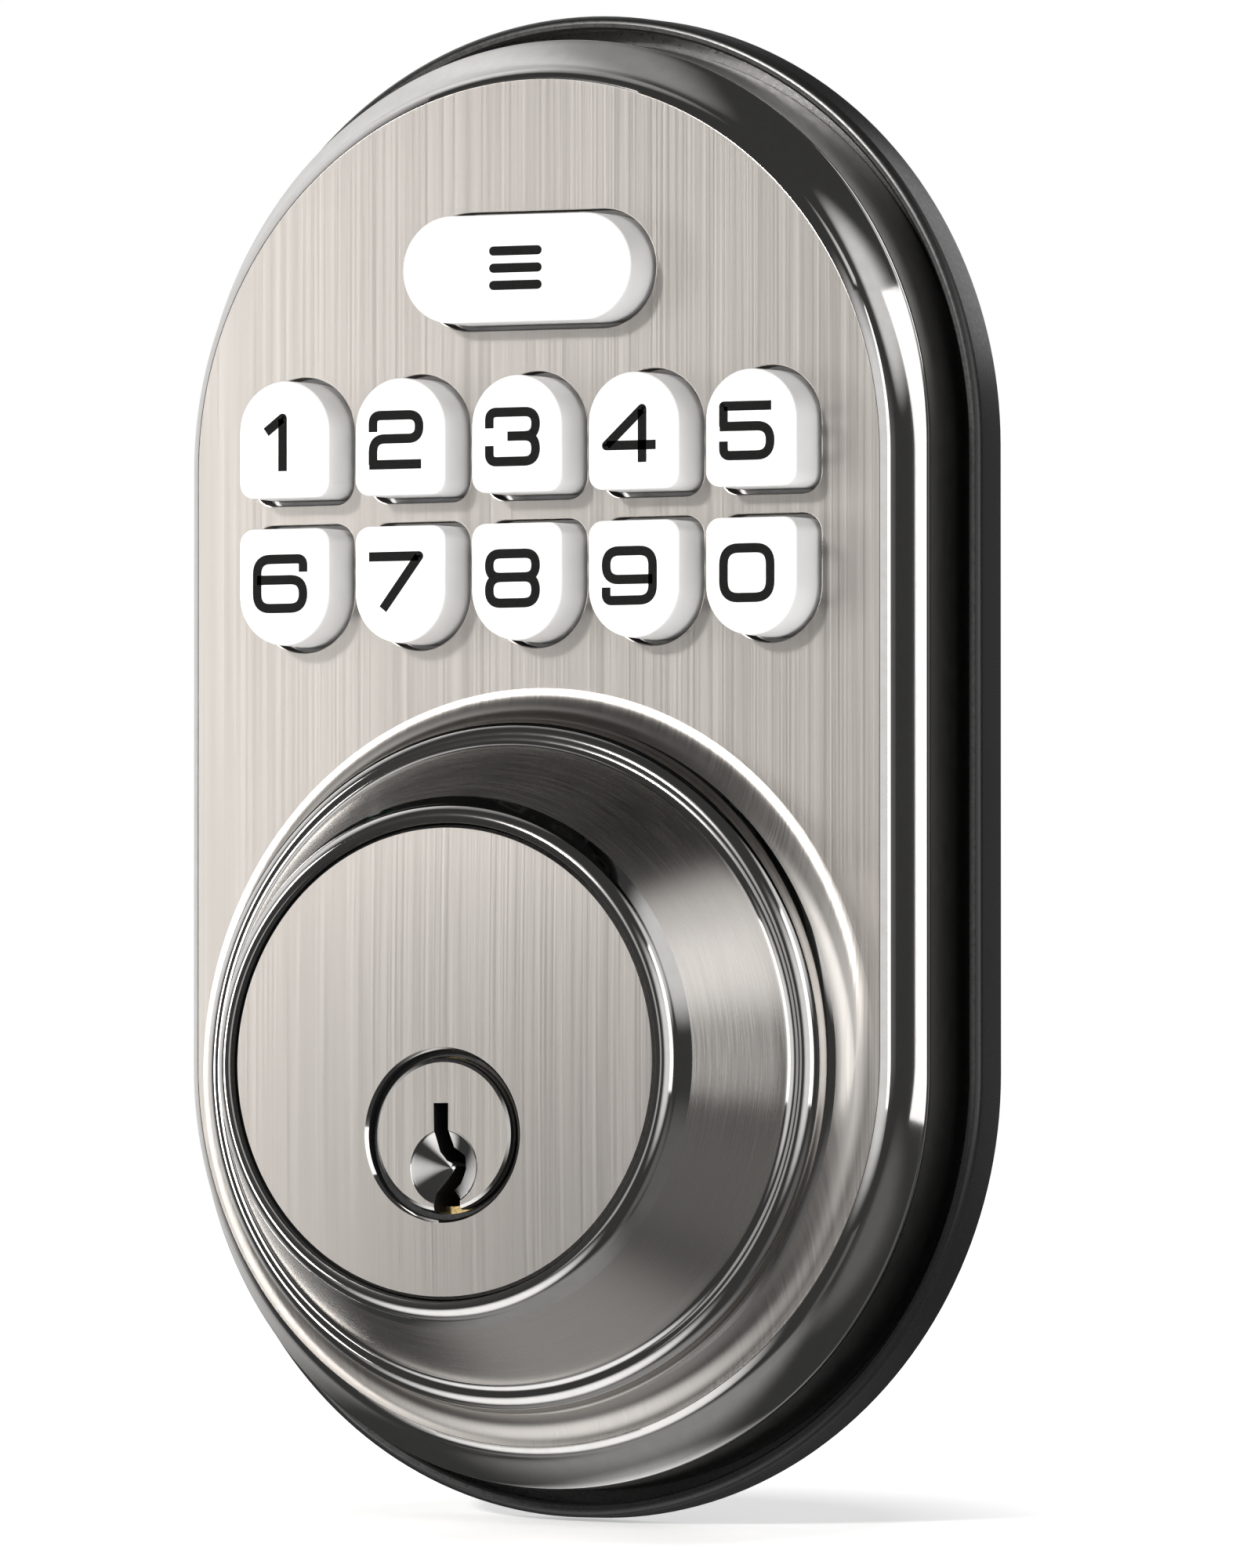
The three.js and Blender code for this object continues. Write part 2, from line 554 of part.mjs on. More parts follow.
function mountingPlate() {
  const outline = obround(CAVITY_RADIUS - SEAT_GAP, FACE_HALF_STRAIGHT);
  const through = (radius, x, z, steps) => (
    rod(radius, PLATE_Y - CUT_PAST, PLATE_BACK_Y + CUT_PAST, x, z, steps)
  );
  return cut(toSolid(plate(outline, PLATE_Y, PLATE_BACK_Y)), [
    through(PLATE_HOLE_RADIUS, 0, PLUG_Z, 24),
    through(MOUNT_POST_NECK + SCREW_GAP, -MOUNT_POST_OFFSET, BOSS_Z, 12),
    through(MOUNT_POST_NECK + SCREW_GAP, MOUNT_POST_OFFSET, BOSS_Z, 12),
    through(GROMMET_BORE + GROMMET_WALL + SCREW_GAP, 0, GROMMET_Z, 24),
    ...PLATE_SCREWS.map(([x, z]) => through(SCREW_HEAD_RADIUS + SCREW_GAP, x, z, 12)),
  ]);
}

function keyCap({ outline }) {
  const edge = KEY_EDGE;
  const front = FACE_Y - KEY_PROUD;
  return loft([
    { outline: outline(-edge), y: front },
    { outline: outline(-edge * 0.3), y: front + edge * 0.3 },
    { outline: outline(0), y: front + edge },
    { outline: outline(0), y: KEY_FLANGE_Y },
    { outline: outline(KEY_FLANGE), y: KEY_FLANGE_Y },
    { outline: outline(KEY_FLANGE), y: KEY_BACK_Y },
  ]);
}

function membrane() {
  const sheet = plate(boardOutline(MEMBRANE_INSET), MEMBRANE_Y, MEMBRANE_Y + MEMBRANE_SHEET);
  const domes = keys.flatMap((key) => key.domes.map((offset) => turned([
    [0, DOME_TIP_Y],
    [DOME_TOP_RADIUS, DOME_TIP_Y],
    [DOME_BASE_RADIUS, MEMBRANE_Y + MEMBRANE_SHEET / 2],
    [0, MEMBRANE_Y + MEMBRANE_SHEET / 2],
  ], key.x + offset, key.z, 12)));
  const postHoles = BOARD_SCREWS.map(([x, z]) => (
    rod(SCREW_POST_RADIUS + SCREW_GAP, MEMBRANE_Y - CUT_PAST, BOARD_Y + CUT_PAST, x, z)
  ));
  return cut(join([sheet, ...domes]), postHoles);
}

function board() {
  const holes = BOARD_SCREWS.map(([x, z]) => (
    rod(SCREW_SHANK_RADIUS + SCREW_GAP, BOARD_Y - CUT_PAST, BOARD_BACK_Y + CUT_PAST, x, z, 12)
  ));
  return cut(toSolid(plate(boardOutline(0), BOARD_Y, BOARD_BACK_Y)), holes);
}

// A pan-head screw driven towards -Y. Its head rests behind seatY.
function screw(x, z, seatY, grip) {
  const head = seatY + SEAT_GAP;
  return turned([
    [0, seatY - grip],
    [SCREW_SHANK_RADIUS, seatY - grip],
    [SCREW_SHANK_RADIUS, head],
    [SCREW_HEAD_RADIUS, head],
    [SCREW_HEAD_RADIUS, head + SCREW_HEAD_HEIGHT * 0.6],
    [SCREW_HEAD_RADIUS * 0.6, head + SCREW_HEAD_HEIGHT],
    [0, head + SCREW_HEAD_HEIGHT],
  ], x, z, 12);
}

function cableSocket() {
  const top = FACE_HALF_STRAIGHT - BOARD_BELOW_TOP + SOCKET_LENGTH + SEAT_GAP;
  const back = BOARD_BACK_Y + SEAT_GAP + SOCKET_HEIGHT;
  const front = BOARD_BACK_Y + SEAT_GAP;
  const half = SOCKET_WIDTH / 2;
  const inner = half - SOCKET_WALL;
  const body = plate(rectangle(-half, top - SOCKET_LENGTH, half, top), front, back);
  const mouth = plate(
    rectangle(-inner, top - SOCKET_LENGTH - CUT_PAST, inner, top - SOCKET_WALL),
    front + SOCKET_WALL,
    back - SOCKET_WALL,
  );
  return cut(toSolid(body), [mouth]);
}

function mountingPost(x) {
  const headBack = PLATE_Y - SEAT_GAP;
  const bodyFront = PLATE_BACK_Y + SEAT_GAP / 2;
  const end = MOUNT_POST_LENGTH;
  return turned([
    [0, headBack - 1],
    [MOUNT_POST_RADIUS, headBack - 1],
    [MOUNT_POST_RADIUS, headBack],
    [MOUNT_POST_NECK, headBack],
    [MOUNT_POST_NECK, bodyFront],
    [MOUNT_POST_RADIUS, bodyFront],
    [MOUNT_POST_RADIUS, end],
    [MOUNT_POST_THREAD, end],
    [MOUNT_POST_THREAD, end - MOUNT_POST_THREAD_DEPTH],
    [0, end - MOUNT_POST_THREAD_DEPTH],
  ], x, BOSS_Z, 16);
}

function grommet() {
  const outer = GROMMET_BORE + GROMMET_WALL;
  const flangeBack = PLATE_Y - SEAT_GAP;
  const back = -SEAT_GAP;
  return turned([
    [GROMMET_BORE, flangeBack - 1],
    [outer + GROMMET_FLANGE, flangeBack - 1],
    [outer + GROMMET_FLANGE, flangeBack],
    [outer, flangeBack],
    [outer, back],
    [GROMMET_BORE, back],
    [GROMMET_BORE, flangeBack - 1],
  ], 0, GROMMET_Z, 24);
}

function faceDisc() {
  const back = BOSS_FRONT_Y + DISC_THICKNESS;
  const round = DISC_EDGE_ROUNDING;
  return turned([
    [DISC_BORE_RADIUS - PLUG_DROP, BOSS_FRONT_Y],
    [DISC_RADIUS - round, BOSS_FRONT_Y],
    [DISC_RADIUS, BOSS_FRONT_Y + round],
    [DISC_RADIUS, back],
    [DISC_BORE_RADIUS - PLUG_DROP, back],
    [DISC_BORE_RADIUS - PLUG_DROP, BOSS_FRONT_Y],
  ], 0, BOSS_Z, 2 * FINE);
}

function cylinderFaceDisc() {
  const bore = rod(DISC_BORE_RADIUS, BOSS_FRONT_Y - CUT_PAST, DISC_SEAT_Y + CUT_PAST, 0, PLUG_Z, 40);
  return cut(toSolid(faceDisc()), [bore]);
}

const pinY = (index) => SHELL_FRONT_Y + FIRST_PIN + index * PIN_PITCH;
const CAP_FRONT_Y = pinY(0) - CHAMBER_RADIUS - 0.6;
const CAP_BACK_Y = pinY(PIN_COUNT - 1) + CHAMBER_RADIUS + 0.6;

function cylinderShell() {
  const flangeBack = SHELL_FLANGE_Y + SHELL_FLANGE_THICKNESS;
  const stack = rectangle(-STACK_HALF_WIDTH, PLUG_Z, STACK_HALF_WIDTH, STACK_TOP_Z);
  const body = join([
    rod(SHELL_RADIUS, SHELL_FRONT_Y, SHELL_BACK_Y, 0, PLUG_Z, 32),
    rod(SHELL_FLANGE_RADIUS, SHELL_FLANGE_Y, flangeBack, 0, BOSS_Z, 32),
    plate(stack, SHELL_FLANGE_Y, SHELL_BACK_Y),
  ]);
  const bore = rod(SHELL_BORE_RADIUS, SHELL_FRONT_Y - CUT_PAST, SHELL_BACK_Y + CUT_PAST, 0, PLUG_Z, 32);
  const chambers = KEY_PIN_LENGTHS.map((_, i) => (
    uprightRod(CHAMBER_RADIUS, PLUG_Z, STACK_TOP_Z, 0, pinY(i))
  ));
  const half = CHAMBER_CAP_HALF_WIDTH + SEAT_GAP;
  const groove = plate(
    rectangle(-half, CAP_SEAT_Z - SEAT_GAP, half, STACK_TOP_Z + CUT_PAST),
    CAP_FRONT_Y - SEAT_GAP,
    CAP_BACK_Y + SEAT_GAP,
  );
  const screwHoles = [-1, 1].map((side) => rod(
    SCREW_SHANK_RADIUS + SCREW_GAP,
    SHELL_FLANGE_Y - CUT_PAST,
    flangeBack + CUT_PAST,
    side * CYLINDER_SCREW_OFFSET,
    BOSS_Z,
    12,
  ));
  return cut(body, [bore, ...chambers, groove, ...screwHoles]);
}

function chamberCap() {
  const half = CHAMBER_CAP_HALF_WIDTH;
  return plate(rectangle(-half, CAP_SEAT_Z, half, STACK_TOP_Z), CAP_FRONT_Y, CAP_BACK_Y);
}

// The keyway's cross-section, about the plug's axis: a straight blade slot above, a warding bend
// through the dimple, and a wider foot that opens through the plug's lower edge.
function keywayOutline() {
  const points = [
    [-0.95, 2.9], [-0.9, 0.2], [-0.7, -1.5], [-0.2, -2.3], [0.7, -2.8], [-0.15, -4.2], [-0.9, -5.3],
    [-0.95, -PLUG_FACE_RADIUS - CUT_PAST], [1.8, -PLUG_FACE_RADIUS - CUT_PAST], [1.75, -5.8], [0.9, -5],
    [1.5, -4.4], [2, -3.1], [1.95, -1.9], [0.8, -1.1], [0.55, 0.2], [0.55, 2.9],
  ];
  return points.map(([x, z]) => new THREE.Vector2(x, PLUG_Z + z));
}

function cylinderPlug() {
  const faceBack = PLUG_FACE_Y + PLUG_FACE_THICKNESS;
  const bevel = PLUG_FACE_BEVEL;
  const body = turned([
    [0, PLUG_FACE_Y],
    [PLUG_FACE_RADIUS - bevel, PLUG_FACE_Y],
    [PLUG_FACE_RADIUS, PLUG_FACE_Y + bevel],
    [PLUG_FACE_RADIUS, faceBack],
    [PLUG_RADIUS, faceBack],
    [PLUG_RADIUS, SHELL_BACK_Y],
    [TAIL_RADIUS, SHELL_BACK_Y],
    [TAIL_RADIUS, TAIL_BACK_Y],
    [0, TAIL_BACK_Y],
  ], 0, PLUG_Z, 32);
  const keyway = plate(keywayOutline(), PLUG_FACE_Y - CUT_PAST, SHELL_BACK_Y - KEYWAY_END_WALL);
  const dimple = turned([
    [0, PLUG_FACE_Y - CUT_PAST],
    [DIMPLE_RADIUS, PLUG_FACE_Y - CUT_PAST],
    [DIMPLE_RADIUS, PLUG_FACE_Y],
    [0, PLUG_FACE_Y + DIMPLE_DEPTH],
  ], 0, PLUG_Z - DIMPLE_DROP, 20);
  const chambers = KEY_PIN_LENGTHS.map((_, i) => (
    uprightRod(CHAMBER_RADIUS, chamberFloor(), PLUG_TOP_Z + CUT_PAST, 0, pinY(i))
  ));
  const slotHalf = TAILPIECE_THICKNESS / 2 + SCREW_GAP;
  const slot = plate(
    rectangle(-slotHalf, PLUG_Z - TAIL_RADIUS - CUT_PAST, slotHalf, PLUG_Z + TAIL_RADIUS + CUT_PAST),
    TAIL_BACK_Y - TAILPIECE_GRIP,
    TAIL_BACK_Y + CUT_PAST,
  );
  return cut(toSolid(body), [keyway, dimple, ...chambers, slot]);
}

function chamberFloor() {
  return PLUG_TOP_Z - SHEAR_GAP - Math.max(...KEY_PIN_LENGTHS) - KEY_PIN_DROP - CHAMBER_FLOOR_SPARE;
}

function keyPin(index) {
  const top = PLUG_TOP_Z - SHEAR_GAP;
  const bottom = top - KEY_PIN_LENGTHS[index];
  const points = [
    [0, bottom],
    [PIN_RADIUS * 0.4, bottom],
    [PIN_RADIUS, bottom + KEY_PIN_POINT],
    [PIN_RADIUS, top],
    [0, top],
  ];
  const lathe = new THREE.LatheGeometry(points.map((p) => new THREE.Vector2(...p)), 12);
  return lathe.rotateX(Math.PI / 2).translate(0, pinY(index), 0);
}

class Helix extends THREE.Curve {
  constructor(radius, bottom, height, turns) {
    super();
    Object.assign(this, { radius, bottom, height, turns });
  }

  getPoint(t, target = new THREE.Vector3()) {
    const angle = 2 * Math.PI * this.turns * t;
    const z = this.bottom + this.height * t;
    return target.set(this.radius * Math.cos(angle), this.radius * Math.sin(angle), z);
  }
}

function pinSpring(index) {
  const section = new THREE.Shape(arc(0, 0, SPRING_WIRE, 0, 2 * Math.PI, 4).slice(0, -1));
  const bottom = DRIVER_TOP_Z + SEAT_GAP + SPRING_WIRE;
  const height = SPRING_LENGTH - 2 * SPRING_WIRE;
  const path = new Helix(SPRING_RADIUS, bottom, height, SPRING_TURNS);
  const wire = new THREE.ExtrudeGeometry(section, { steps: SPRING_TURNS * 6, extrudePath: path });
  return wire.translate(0, pinY(index), 0);
}

function plugRetainer() {
  const front = SHELL_BACK_Y + SEAT_GAP;
  const inner = TAIL_RADIUS + SEAT_GAP;
  return turned([
    [inner, front],
    [RETAINER_RADIUS, front],
    [RETAINER_RADIUS, front + RETAINER_THICKNESS],
    [inner, front + RETAINER_THICKNESS],
    [inner, front],
  ], 0, PLUG_Z, 24);
}

function tailpiece() {
  const halfX = TAILPIECE_THICKNESS / 2;
  const halfZ = TAILPIECE_WIDTH / 2;
  const front = TAIL_BACK_Y - TAILPIECE_GRIP + SEAT_GAP;
  return plate(rectangle(-halfX, PLUG_Z - halfZ, halfX, PLUG_Z + halfZ), front, TAILPIECE_REACH);
}

// ---- Pieces ----
addPiece('front_housing', 'nickel', toGeometry(frontHousing()));
addPiece('weather_gasket', 'rubber', toGeometry(weatherGasket()));
addPiece('mounting_plate', 'steel', toGeometry(mountingPlate()));
for (const key of keys) addPiece(key.name, 'whitePlastic', keyCap(key));
addPiece('keypad_membrane', 'silicone', toGeometry(membrane()));
addPiece('keypad_board', 'board', toGeometry(board()));

const chipOutline = rectangle(-CHIP_SIZE / 2, KEYPAD_Z, CHIP_SIZE / 2, KEYPAD_Z + CHIP_SIZE);
addPiece('controller_chip', 'blackPlastic', plate(chipOutline, PARTS_Y, PARTS_Y + CHIP_HEIGHT));
const sounder = rod(SOUNDER_RADIUS, PARTS_Y, PARTS_Y + SOUNDER_HEIGHT, -BOARD_HALF_WIDTH / 2, KEYPAD_Z);
addPiece('sounder', 'blackPlastic', sounder);
addPiece('cable_socket', 'blackPlastic', toGeometry(cableSocket()));
addPiece('cable_grommet', 'rubber', grommet());

BOARD_SCREWS.forEach(([x, z], i) => {
  addPiece(`board_screw_${i + 1}`, 'steel', screw(x, z, BOARD_BACK_Y, BOARD_THICKNESS + SCREW_GRIP));
});
PLATE_SCREWS.forEach(([x, z], i) => {
  addPiece(`plate_screw_${i + 1}`, 'steel', screw(x, z, PLATE_Y - SEAT_GAP, SCREW_GRIP));
});
[-1, 1].forEach((side) => {
  const hand = side < 0 ? 'left' : 'right';
  const seat = SHELL_FLANGE_Y + SHELL_FLANGE_THICKNESS;
  const grip = SHELL_FLANGE_THICKNESS + SEAT_GAP + CYLINDER_SCREW_GRIP;
  addPiece(`cylinder_screw_${hand}`, 'steel', screw(side * CYLINDER_SCREW_OFFSET, BOSS_Z, seat, grip));
  addPiece(`mounting_post_${hand}`, 'steel', mountingPost(side * MOUNT_POST_OFFSET));
});

addPiece('cylinder_face_disc', 'nickel', toGeometry(cylinderFaceDisc()));
addPiece('cylinder_shell', 'brass', toGeometry(cylinderShell()));
addPiece('cylinder_plug', 'nickel', toGeometry(cylinderPlug()));
addPiece('chamber_cap', 'brass', chamberCap());
addPiece('plug_retainer', 'brass', plugRetainer());
addPiece('tailpiece', 'steel', tailpiece());
KEY_PIN_LENGTHS.forEach((_, i) => {
  addPiece(`key_pin_${i + 1}`, 'brass', keyPin(i));
  const driver = uprightRod(PIN_RADIUS, DRIVER_BOTTOM_Z, DRIVER_TOP_Z, 0, pinY(i));
  addPiece(`driver_pin_${i + 1}`, 'steel', driver);
  addPiece(`pin_spring_${i + 1}`, 'steel', pinSpring(i));
});

export default lock;
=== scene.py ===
"""Looks of the keypad smart lock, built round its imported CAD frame.

Sizes are in millimetres until a mesh is made. +Z is up, the keypad faces -Y and the door is at y = 0.
"""
import json
import math

import bmesh
import bpy
from mathutils import Matrix, Vector

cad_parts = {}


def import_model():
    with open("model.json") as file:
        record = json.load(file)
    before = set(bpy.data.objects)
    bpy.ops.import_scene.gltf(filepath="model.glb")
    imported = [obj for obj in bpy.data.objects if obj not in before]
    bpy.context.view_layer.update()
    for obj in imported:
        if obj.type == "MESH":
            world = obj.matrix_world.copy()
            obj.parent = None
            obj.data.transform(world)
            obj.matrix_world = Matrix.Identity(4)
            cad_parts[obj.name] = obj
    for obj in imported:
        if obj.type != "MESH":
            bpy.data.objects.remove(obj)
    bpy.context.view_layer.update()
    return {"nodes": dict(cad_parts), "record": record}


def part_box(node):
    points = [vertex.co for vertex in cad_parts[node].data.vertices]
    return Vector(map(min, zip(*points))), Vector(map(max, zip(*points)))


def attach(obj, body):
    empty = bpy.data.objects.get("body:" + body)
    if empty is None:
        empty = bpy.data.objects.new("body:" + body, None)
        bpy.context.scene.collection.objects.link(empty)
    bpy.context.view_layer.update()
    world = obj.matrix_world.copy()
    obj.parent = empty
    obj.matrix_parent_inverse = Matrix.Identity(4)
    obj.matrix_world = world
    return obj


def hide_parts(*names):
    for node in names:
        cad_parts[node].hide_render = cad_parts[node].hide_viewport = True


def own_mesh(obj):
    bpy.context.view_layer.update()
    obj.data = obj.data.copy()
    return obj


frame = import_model()
MM = 0.001
BEHAVIOUR = frame["record"]["behaviour"]
BODY_OF = {node: body for body, nodes in BEHAVIOUR["bodies"].items() for node in nodes}
LOCK = BODY_OF["front_housing"]
DIGIT_ROWS = ((1, 2, 3, 4, 5), (6, 7, 8, 9, 0))


def box_mm(node):
    low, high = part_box(node)
    return Vector(low) / MM, Vector(high) / MM


# ---- Places and sizes that come from the frame ----
housing_low, housing_high = box_mm("front_housing")
gasket_low, gasket_high = box_mm("weather_gasket")
disc_low, disc_high = box_mm("cylinder_face_disc")
plug_low, plug_high = box_mm("cylinder_plug")
LIP_RADIUS = housing_high.x
LIP_STRAIGHT = housing_high.z - LIP_RADIUS
HOUSING_BACK = housing_high.y
RIM_RADIUS = gasket_high.x
RIM_STRAIGHT = gasket_high.z - RIM_RADIUS
RIM_FRONT = gasket_low.y
BOSS_Z = (disc_low.z + disc_high.z) / 2
BOSS_FRONT = housing_low.y
DISC_RADIUS = disc_high.x
PLUG_Z = plug_high.z - plug_high.x

# ---- Sizes of what only the looks need ----
FACE_Y = -14.6  # the front of the flat face
FACE_WALL = 2.2
BOSS_HEIGHT = FACE_Y - BOSS_FRONT
KEY_FLANGE = 0.8  # how far a key's foot reaches past its cap behind the face, and how thick it is
KEY_GAP = 0.48
KEY_CORNER = 1.4
KEY_EDGE = 0.6
INK = 0.05  # how far the printing stands out
INK_FOOT = 0.03  # how far it reaches into the key


# ---- Outlines: counter-clockwise (x, z) points as seen from the front ----
SIDE_STEPS = 24  # pieces of an obround's straight side


def arc(x, z, radius, start, end, steps):
    angles = [start + (end - start) * i / steps for i in range(steps + 1)]
    return [(x + radius * math.cos(a), z + radius * math.sin(a)) for a in angles]


def obround(radius, straight, steps=96):
    """An upright obround: half circles above and below two straight sides."""
    side = [(-radius, straight - 2 * straight * i / SIDE_STEPS) for i in range(1, SIDE_STEPS)]
    top = arc(0, straight, radius, 0, math.pi, steps)
    bottom = arc(0, -straight, radius, math.pi, 2 * math.pi, steps)
    return top + side + bottom + [(-x, -z) for x, z in side]


def lying_obround(x, z, length, height, offset=0.0, steps=24):
    """An obround on its side, grown all round by the offset."""
    radius = height / 2 + offset
    reach = (length - height) / 2
    right = arc(x + reach, z, radius, -math.pi / 2, math.pi / 2, steps)
    return right + arc(x - reach, z, radius, math.pi / 2, 1.5 * math.pi, steps)


def key_outline(x, z, width, height, flip, offset=0.0):
    """An arched key: a half circle at one end and rounded corners at the other."""
    half, corner, top = width / 2 + offset, KEY_CORNER + offset, height / 2 + offset
    points = arc(0, top - half, half, 0, math.pi, 32)
    points += arc(corner - half, corner - top, corner, math.pi, 1.5 * math.pi, 8)
    points += arc(half - corner, corner - top, corner, 1.5 * math.pi, 2 * math.pi, 8)
    turn = -1 if flip else 1
    return [(x + turn * px, z + turn * pz) for px, pz in points]


def circle(x, z, radius, steps=64):
    return arc(x, z, radius, 0, 2 * math.pi, steps)[:-1]


# ---- Mesh making ----
SQUARE_TO_Y = 0.9999  # how much of its normal a face needs along Y to count as square to it
MERGE = 1e-7


def sharpen(mesh, degrees=32):
    """Smooth shading, with edges sharper than the angle left crisp and faces square to Y left flat."""
    bm = bmesh.new()
    bm.from_mesh(mesh)
    bmesh.ops.remove_doubles(bm, verts=bm.verts, dist=MERGE)
    bmesh.ops.recalc_face_normals(bm, faces=bm.faces)
    for face in bm.faces:
        face.smooth = abs(face.normal.y) < SQUARE_TO_Y
    for edge in bm.edges:
        if len(edge.link_faces) == 2:
            edge.smooth = edge.calc_face_angle(0) < math.radians(degrees)
    bm.to_mesh(mesh)
    bm.free()


def make(name, points, faces, materials, body=LOCK, face_materials=None, degrees=32):
    mesh = bpy.data.meshes.new(name)
    mesh.from_pydata([Vector(p) * MM for p in points], [], faces)
    for material in materials:
        mesh.materials.append(material)
    if face_materials:
        mesh.polygons.foreach_set("material_index", face_materials)
    sharpen(mesh, degrees)
    return adopt(bpy.data.objects.new(name, mesh), body)


def adopt(piece, body):
    """Links a piece to the scene, riding on a body."""
    bpy.context.scene.collection.objects.link(piece)
    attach(piece, body)
    return piece


def loft(name, rings, materials, body=LOCK, bands=None, caps=(True, True), degrees=32):
    """Outlines of equal count joined in order. bands gives each strip's material."""
    count = len(rings[0][0])
    points = [(x, y, z) for outline, y in rings for x, z in outline]
    faces, picks = [], []
    for ring in range(len(rings) - 1):
        for i in range(count):
            a, b = ring * count + i, ring * count + (i + 1) % count
            faces.append((a, a + count, b + count, b))
            picks.append(bands[ring] if bands else 0)
    for wanted, ring in zip(caps, (0, len(rings) - 1)):
        if wanted:
            faces.append(tuple(range(ring * count, (ring + 1) * count)))
            picks.append(bands[0 if ring == 0 else -1] if bands else 0)
    return make(name, points, faces, materials, body, picks, degrees)


def lathe(name, profile, x, z, materials, body=LOCK, bands=None, steps=128, degrees=32):
    """A [radius, y] profile turned about an axis along Y. Ends on the axis are closed."""
    rings = [(circle(x, z, max(radius, 1e-4), steps), y) for radius, y in profile]
    closed = (profile[0][0] < 0.01, profile[-1][0] < 0.01)
    return loft(name, rings, materials, body, bands, closed, degrees)


def pierced_plate(name, outlines, front, back, bevel, materials, body=LOCK):
    """A flat plate whose first outline is its edge and the rest are holes, all with eased edges."""
    curve = bpy.data.curves.new(name, "CURVE")
    curve.dimensions = "2D"
    curve.fill_mode = "BOTH"
    curve.extrude = ((back - front) / 2 - bevel) * MM
    curve.bevel_depth = bevel * MM
    curve.bevel_resolution = 2
    curve.offset = -bevel * MM
    for outline in outlines:
        spline = curve.splines.new("POLY")
        spline.points.add(len(outline) - 1)
        for point, (x, z) in zip(spline.points, outline):
            point.co = (x * MM, z * MM, 0, 1)
        spline.use_cyclic_u = True
    holder = bpy.data.objects.new(name + "_curve", curve)
    bpy.context.scene.collection.objects.link(holder)
    evaluated = holder.evaluated_get(bpy.context.evaluated_depsgraph_get())
    mesh = bpy.data.meshes.new_from_object(evaluated)
    bpy.data.objects.remove(holder)
    upright = Matrix.Rotation(math.pi / 2, 4, "X")
    mesh.transform(Matrix.Translation((0, (front + back) / 2 * MM, 0)) @ upright)
    mesh.materials.clear()
    for material in materials:
        mesh.materials.append(material)
    sharpen(mesh, 25)
    mesh.name = name
    return adopt(bpy.data.objects.new(name, mesh), body)


# ---- Materials ----
class NodeTree:
    """Short ways to add and link nodes."""

    def __init__(self, tree):
        self.tree = tree

    def feed(self, socket, value):
        """Links the socket to another node's output, or sets it to a plain value."""
        if isinstance(value, bpy.types.NodeSocket):
            self.tree.links.new(value, socket)
        else:
            socket.default_value = value

    def add(self, kind, inputs=None, **settings):
        node = self.tree.nodes.new("ShaderNode" + kind)
        for key, value in settings.items():
            setattr(node, key, value)
        for key, value in (inputs or {}).items():
            self.feed(node.inputs[key], value)
        return node


class Shader(NodeTree):
    """A material and its node tree."""

    def __init__(self, name):
        self.material = bpy.data.materials.new(name)
        self.material.use_nodes = True
        super().__init__(self.material.node_tree)
        self.bsdf = self.tree.nodes["Principled BSDF"]

    def set(self, **values):
        for key, value in values.items():
            self.feed(self.bsdf.inputs[key.replace("_", " ")], value)

    def noise(self, scale, stretch=(1, 1, 1), detail=4.0, rough=0.6):
        coords = self.add("TexCoord").outputs["Object"]
        mapping = self.add("Mapping", {"Vector": coords, "Scale": stretch})
        node = self.add("TexNoise", {"Vector": mapping.outputs[0], "Scale": scale,
                                     "Detail": detail, "Roughness": rough})
        return node.outputs["Fac"]

    def ramp(self, value, low, high, start=0.3, end=0.7):
        node = self.add("MapRange", {"Value": value, "From Min": start, "From Max": end,
                                     "To Min": low, "To Max": high})
        return node.outputs["Result"]

    def mix(self, factor, first, second):
        """A mix of two colours. The node's colour sockets are its inputs 6 and 7 and its output 2."""
        return self.add("Mix", {0: factor, 6: first, 7: second}, data_type="RGBA").outputs[2]

    def bump(self, height, strength, distance):
        node = self.add("Bump", {"Height": height, "Strength": strength, "Distance": distance})
        return node.outputs["Normal"]


def grey(value, warm=0.0):
    """A grey with its red raised and its blue lowered by the same share."""
    return (value * (1 + warm), value, value * (1 - warm), 1)


FINE_MARKS = 9000  # marks to a metre, across the brushing
BROAD_MARKS = 1600


def brushed_nickel(name, stretch, tangent_axis, turn, rough, tone=0.62, spread=0.75):
    """Satin nickel. stretch is small along the brushing and large across it.

    Highlights spread along the tangent once it is turned by this share of a full circle, so it has to lie
    across the marks.
    """
    s = Shader(name)
    fine = s.noise(1, [v * FINE_MARKS for v in stretch], 1)
    broad = s.noise(1, [v * BROAD_MARKS for v in stretch], 1)
    colour = s.mix(s.ramp(fine, 0, 1, 0.2, 0.8), grey(tone * 0.95, 0.06), grey(tone * 1.05, 0.05))
    s.set(Base_Color=s.mix(s.ramp(broad, 0, 0.2), colour, grey(tone * 0.92, 0.065)))
    s.set(Roughness=s.ramp(fine, rough[0], rough[1]), Metallic=1.0, Anisotropic=spread)
    s.set(Normal=s.bump(fine, 0.06, 0.00003))
    s.set(Tangent=s.add("Tangent", direction_type="RADIAL", axis=tangent_axis).outputs[0])
    s.set(Anisotropic_Rotation=turn)
    return s.material


def polished_nickel(name, tone=0.66, rough=0.07):
    s = Shader(name)
    smear = s.noise(700, detail=2)
    s.set(Base_Color=s.mix(s.ramp(smear, 0, 1), grey(tone, 0.02), grey(tone * 0.93, 0.03)))
    s.set(Roughness=s.ramp(smear, rough, rough * 1.15), Metallic=1.0)
    return s.material


